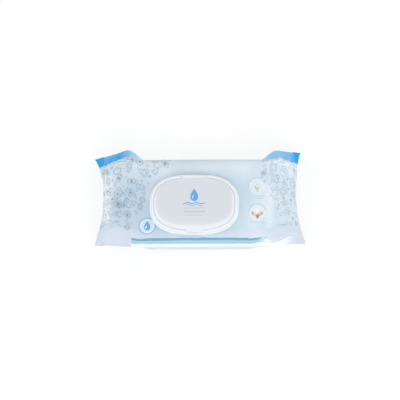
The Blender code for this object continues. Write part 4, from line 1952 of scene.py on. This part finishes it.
@dataclass
class FlipLid:
    """The flip lid: crowned plate, skirt, sealing ring, hinge tongue and thumb tab.

    The plateau is the half size of its raised middle, and the label that of its label, whose field is painted
    shade.
    Both are shifted to the back.
    """

    sizes: Moulding
    finish: LidPlastic
    ring_wall: float = 1.0 * MM
    ring_clearance: float = 0.7 * MM
    rounding: float = 0.45 * MM
    plateau: Pair = (38.5 * MM, 20.6 * MM)
    plateau_shift: float = 4.2 * MM
    label: Pair = (37.5 * MM, 22.2 * MM)
    label_shift: float = 1.5 * MM

    def label_place(self) -> LabelPlace:
        """Return the place of the label on the lid's raised middle.

        Returns:
            Its superellipse, and a height between the raised middle and the plate's underside.
        """
        m = self.sizes
        floor = m.foot + m.rim_height + m.lid_rise - 0.9 * MM
        return LabelPlace(m.centre.x, m.centre.y + self.label_shift, *self.label, floor)

    def edge(self, inset: float, z: float) -> np.ndarray:
        """Return the lid's outline moved in by an inset from its own edge."""
        return self.sizes.outline(self.sizes.rim_inset + self.sizes.lid_clearance + inset, z)

    def crown(self, share: float, z: float) -> np.ndarray:
        """Return a ring of the lid's raised middle, as a share of its size."""
        half_x, half_y = self.plateau
        return self.sizes.ring(half_x * share, half_y * share, z, self.sizes.power, self.plateau_shift)

    def slope(self, share: float, top: float, crown: float) -> np.ndarray:
        """Return a ring between the raised middle and the edge.

        Args:
            share: 0 at the raised middle and 1 at the edge.
            top: Height of the edge.
            crown: Height of the raised middle.

        Returns:
            Its points.
        """
        ring = mix(self.crown(1.0, 0), self.edge(self.rounding, 0), share)
        ring[:, 2] = self.sizes.foot + mix(crown, top, share * share)
        return ring

    def rings(self) -> list[np.ndarray]:
        """Return the section, from the middle of the top round the skirt to the middle below.

        Returns:
            The rings in order.
        """
        m = self.sizes
        top = m.rim_height - 0.1 * MM
        crown = m.rim_height + m.lid_rise
        under = crown - m.lid_wall
        seal_in = m.collar_wall + self.ring_clearance
        seal_out = seal_in + self.ring_wall
        seal_foot = m.floor + 0.5 * MM
        low = m.ledge_height + m.gap
        rows = [self.crown(share, crown) for share in (0.02, 0.3, 0.6, 0.8, 0.92)]
        rows += [self.slope(step / 20, top, crown) for step in range(21)]
        for step in range(1, 7):
            turn = step / 6 * math.pi / 2
            inset = self.rounding * (1 - math.sin(turn))
            rows.append(self.edge(inset, top - self.rounding * (1 - math.cos(turn))))
        for inset, z in (
            (0, low + 0.15 * MM), (0.15 * MM, low), (m.skirt_wall - 0.1 * MM, low),
            (m.skirt_wall, low + 0.1 * MM), (m.skirt_wall, top - 1.1 * MM),
        ):
            rows.append(self.edge(inset, z))
        rows += m.mouths(
            (seal_out, under - 0.8 * MM), (seal_out, seal_foot + 0.15 * MM),
            (seal_out - 0.15 * MM, seal_foot), (seal_in + 0.15 * MM, seal_foot),
            (seal_in, seal_foot + 0.15 * MM), (seal_in, under - 0.7 * MM),
        )
        return rows + [self.crown(share, under) for share in (0.7, 0.3, 0.02)]

    def tongue(self) -> bpy.types.Object:
        """Return the block that carries the lid over the rim to the hinge line.

        Returns:
            The block.
        """
        m = self.sizes
        edge = m.centre.y + m.half.y - m.rim_inset - m.lid_clearance
        inner = edge - m.skirt_wall * 0.8
        end = HINGE.y - m.gap / 2
        top = m.foot + m.rim_height - 0.2 * MM
        low = HINGE.z - m.tongue_thickness
        outline = [(inner, top - 1 * MM), (edge, low), (end, low), (end, HINGE.z), (edge, top), (inner, top)]
        return m.prism("tongue", outline, m.tongue_half, 0.15 * MM)

    def tab(self) -> bpy.types.Object:
        """Return the lip that stands out over the scoop for the thumb.

        Returns:
            The lip.
        """
        m = self.sizes
        front = m.centre.y - m.half.y
        edge = front + m.rim_inset + m.lid_clearance + m.skirt_wall * 0.8
        end = front + m.tab_inset
        top = m.foot + m.rim_height - 0.2 * MM
        outline = [
            (edge, top), (end + 2.0 * MM, top), (end + 0.4 * MM, top - 0.3 * MM), (end, top - 0.55 * MM),
            (end + 0.1 * MM, top - m.tab_thickness), (edge, top - m.tab_thickness),
        ]
        return m.prism("tab", outline, m.tab_half, 0.25 * MM)

    def build(self) -> bpy.types.Object:
        """Build and dress the lid.

        Returns:
            The lid.
        """
        item = link("flip_lid", self.sizes.loft(self.rings(), closed=False))
        carve(item, Cut.JOIN, [self.tongue(), self.tab()])
        item.data.materials.append(replace(self.finish, label=self.label_place()).material())
        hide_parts("lid")
        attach(item, "lid")
        return item


@dataclass
class LivingHinge:
    """The thin web that folds between the frame's land and the end of the lid's tongue."""

    sizes: Moulding
    finish: LidPlastic
    thickness: float = 0.28 * MM
    rest_length: float = 0.9 * MM
    radius: float = 0.3 * MM
    columns: int = 24

    def path(self, land: float, top: float) -> list[Place]:
        """Return the web's middle line, which climbs from the land to the tongue.

        Args:
            land: Its height on the land.
            top: Its height at the tongue.

        Returns:
            Its (y, z) points.
        """
        radius = self.radius
        back = HINGE.y + 0.1 * MM
        bend = [
            (back - radius + radius * math.sin(turn), land + radius * (1 - math.cos(turn)))
            for turn in np.linspace(0, math.pi / 2, 5)[1:]
        ]
        climb = [(back, z) for z in np.linspace(land + radius, top, 8)[1:]]
        return [(back - radius - self.rest_length, land), (back - radius, land), *bend, *climb]

    def build(self) -> bpy.types.Object:
        """Build and dress the web.

        Returns:
            The web.
        """
        m = self.sizes
        land = HINGE.z - m.tongue_thickness - m.gap + self.thickness / 2
        top = HINGE.z - self.thickness / 2
        path = self.path(land, top)
        rows = len(path) - 1
        mesh_data = bmesh.new()
        bmesh.ops.create_grid(mesh_data, x_segments=self.columns, y_segments=rows, size=0.5)
        for vertex in mesh_data.verts:
            y, z = path[round((vertex.co.y + 0.5) * rows)]
            vertex.co = (m.centre.x + vertex.co.x * 2 * (m.tongue_half - 0.1 * MM), y, z)
        bmesh.ops.solidify(mesh_data, geom=mesh_data.faces, thickness=self.thickness)
        bmesh.ops.recalc_face_normals(mesh_data, faces=mesh_data.faces)
        item = link("hinge_web", mesh_data)
        item.data.materials.append(self.finish.material())
        bend = land + self.radius
        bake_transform(item)
        return item


# Studio


@dataclass(frozen=True)
class Lamp:
    """A square area lamp that faces the pack."""

    name: str
    place: tuple[float, float, float]
    power: float
    size: float = 1.1

    def build(self, target: Vector) -> None:
        """Add the lamp.

        Args:
            target: The point that it faces.
        """
        data = bpy.data.lights.new(self.name, "AREA")
        data.size = self.size
        data.energy = self.power
        item = bpy.data.objects.new(self.name, data)
        item.location = self.place
        item.rotation_euler = (target - Vector(self.place)).to_track_quat("-Z", "Y").to_euler()
        bpy.context.scene.collection.objects.link(item)


@dataclass(frozen=True)
class Studio:
    """The floor, the soft lights and the camera at the photograph's angle."""

    elevation: float = math.radians(77.0)
    distance: float = 1.4
    lens: float = 112.64
    target: Vector = Vector((0.0, 0.0, 0.025))
    aim_right: float = 0.22 * MM
    aim_up: float = -2.01 * MM
    roll: float = math.radians(-0.4)
    world_strength: float = 0.42
    floor_half: float = 3.0
    lamps: tuple[Lamp, ...] = (
        Lamp("front", (0.2, -1.15, 1.15), 12.0),
        Lamp("left", (-1.4, -0.2, 0.75), 9.5),
        Lamp("right", (1.4, 0.1, 0.75), 7.5),
        Lamp("back", (0.0, 1.35, 1.0), 6.5),
    )

    def camera(self) -> None:
        """Place the camera."""
        data = bpy.data.cameras.new("camera")
        adjust(data, lens=self.lens, sensor_width=36.0, clip_start=0.05, clip_end=20.0)
        item = bpy.data.objects.new("camera", data)
        back = Vector((0, -math.cos(self.elevation), math.sin(self.elevation)))
        up = Vector((0, math.sin(self.elevation), math.cos(self.elevation)))
        aim = self.target + Vector((self.aim_right, 0, 0)) + up * self.aim_up
        item.location = aim + back * self.distance
        tilt = Matrix.Rotation(math.pi / 2 - self.elevation, 3, "X")
        item.rotation_euler = (tilt @ Matrix.Rotation(self.roll, 3, "Z")).to_euler()
        bpy.context.scene.collection.objects.link(item)
        bpy.context.scene.camera = item

    def world(self) -> None:
        """Set the soft light all round, white where the camera sees it."""
        world = bpy.data.worlds.new("studio")
        bpy.context.scene.world = world
        graph = Graph(world)
        graph.overlay(graph.seen(), "Background", 1.0)
        graph.dress(Color=(1.0, 1.0, 1.0), Strength=self.world_strength)

    def floor(self) -> None:
        """Lay the paper."""
        mesh_data = bmesh.new()
        bmesh.ops.create_grid(mesh_data, x_segments=1, y_segments=1, size=self.floor_half)
        mesh = bpy.data.meshes.new("floor")
        mesh_data.to_mesh(mesh)
        mesh_data.free()
        item = bpy.data.objects.new("floor", mesh)
        mesh.materials.append(FloorPaper().material())
        bpy.context.scene.collection.objects.link(item)

    def build(self) -> None:
        """Set up the studio."""
        bpy.context.scene.view_settings.view_transform = "Standard"
        self.camera()
        self.world()
        for lamp in self.lamps:
            lamp.build(self.target)
        self.floor()


def write_size() -> None:
    bpy.context.view_layer.update()


def main() -> None:
    """Build the pieces in order and report each."""
    logging.basicConfig(level=logging.INFO, format="%(message)s")
    Studio().build()
    LOG.info("studio")
    _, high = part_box("film_pack")
    foot_low, foot_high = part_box("lid_frame")
    foot = ((foot_low + foot_high) / 2, (foot_high - foot_low) / 2)
    film = FilmPack(FilmShape(height=high.z), foot)
    film.build()
    for piece in film.pieces:
        LOG.info("%s: %d faces", piece.name, len(piece.data.polygons))
    sizes = Moulding.from_frame()
    white = LidPlastic("white polypropylene", srgb(230, 237, 243))
    # The lid's label field carries painted shade.
    labelled = LidPlastic("white polypropylene with label on painted shade", srgb(227, 230, 235))
    for part in (LidFrame(sizes, white), FlipLid(sizes, labelled), LivingHinge(sizes, white)):
        item = part.build()
        LOG.info("%s: %d faces", item.name, len(item.data.polygons))
    write_size()


if __name__ == "__main__":
    main()
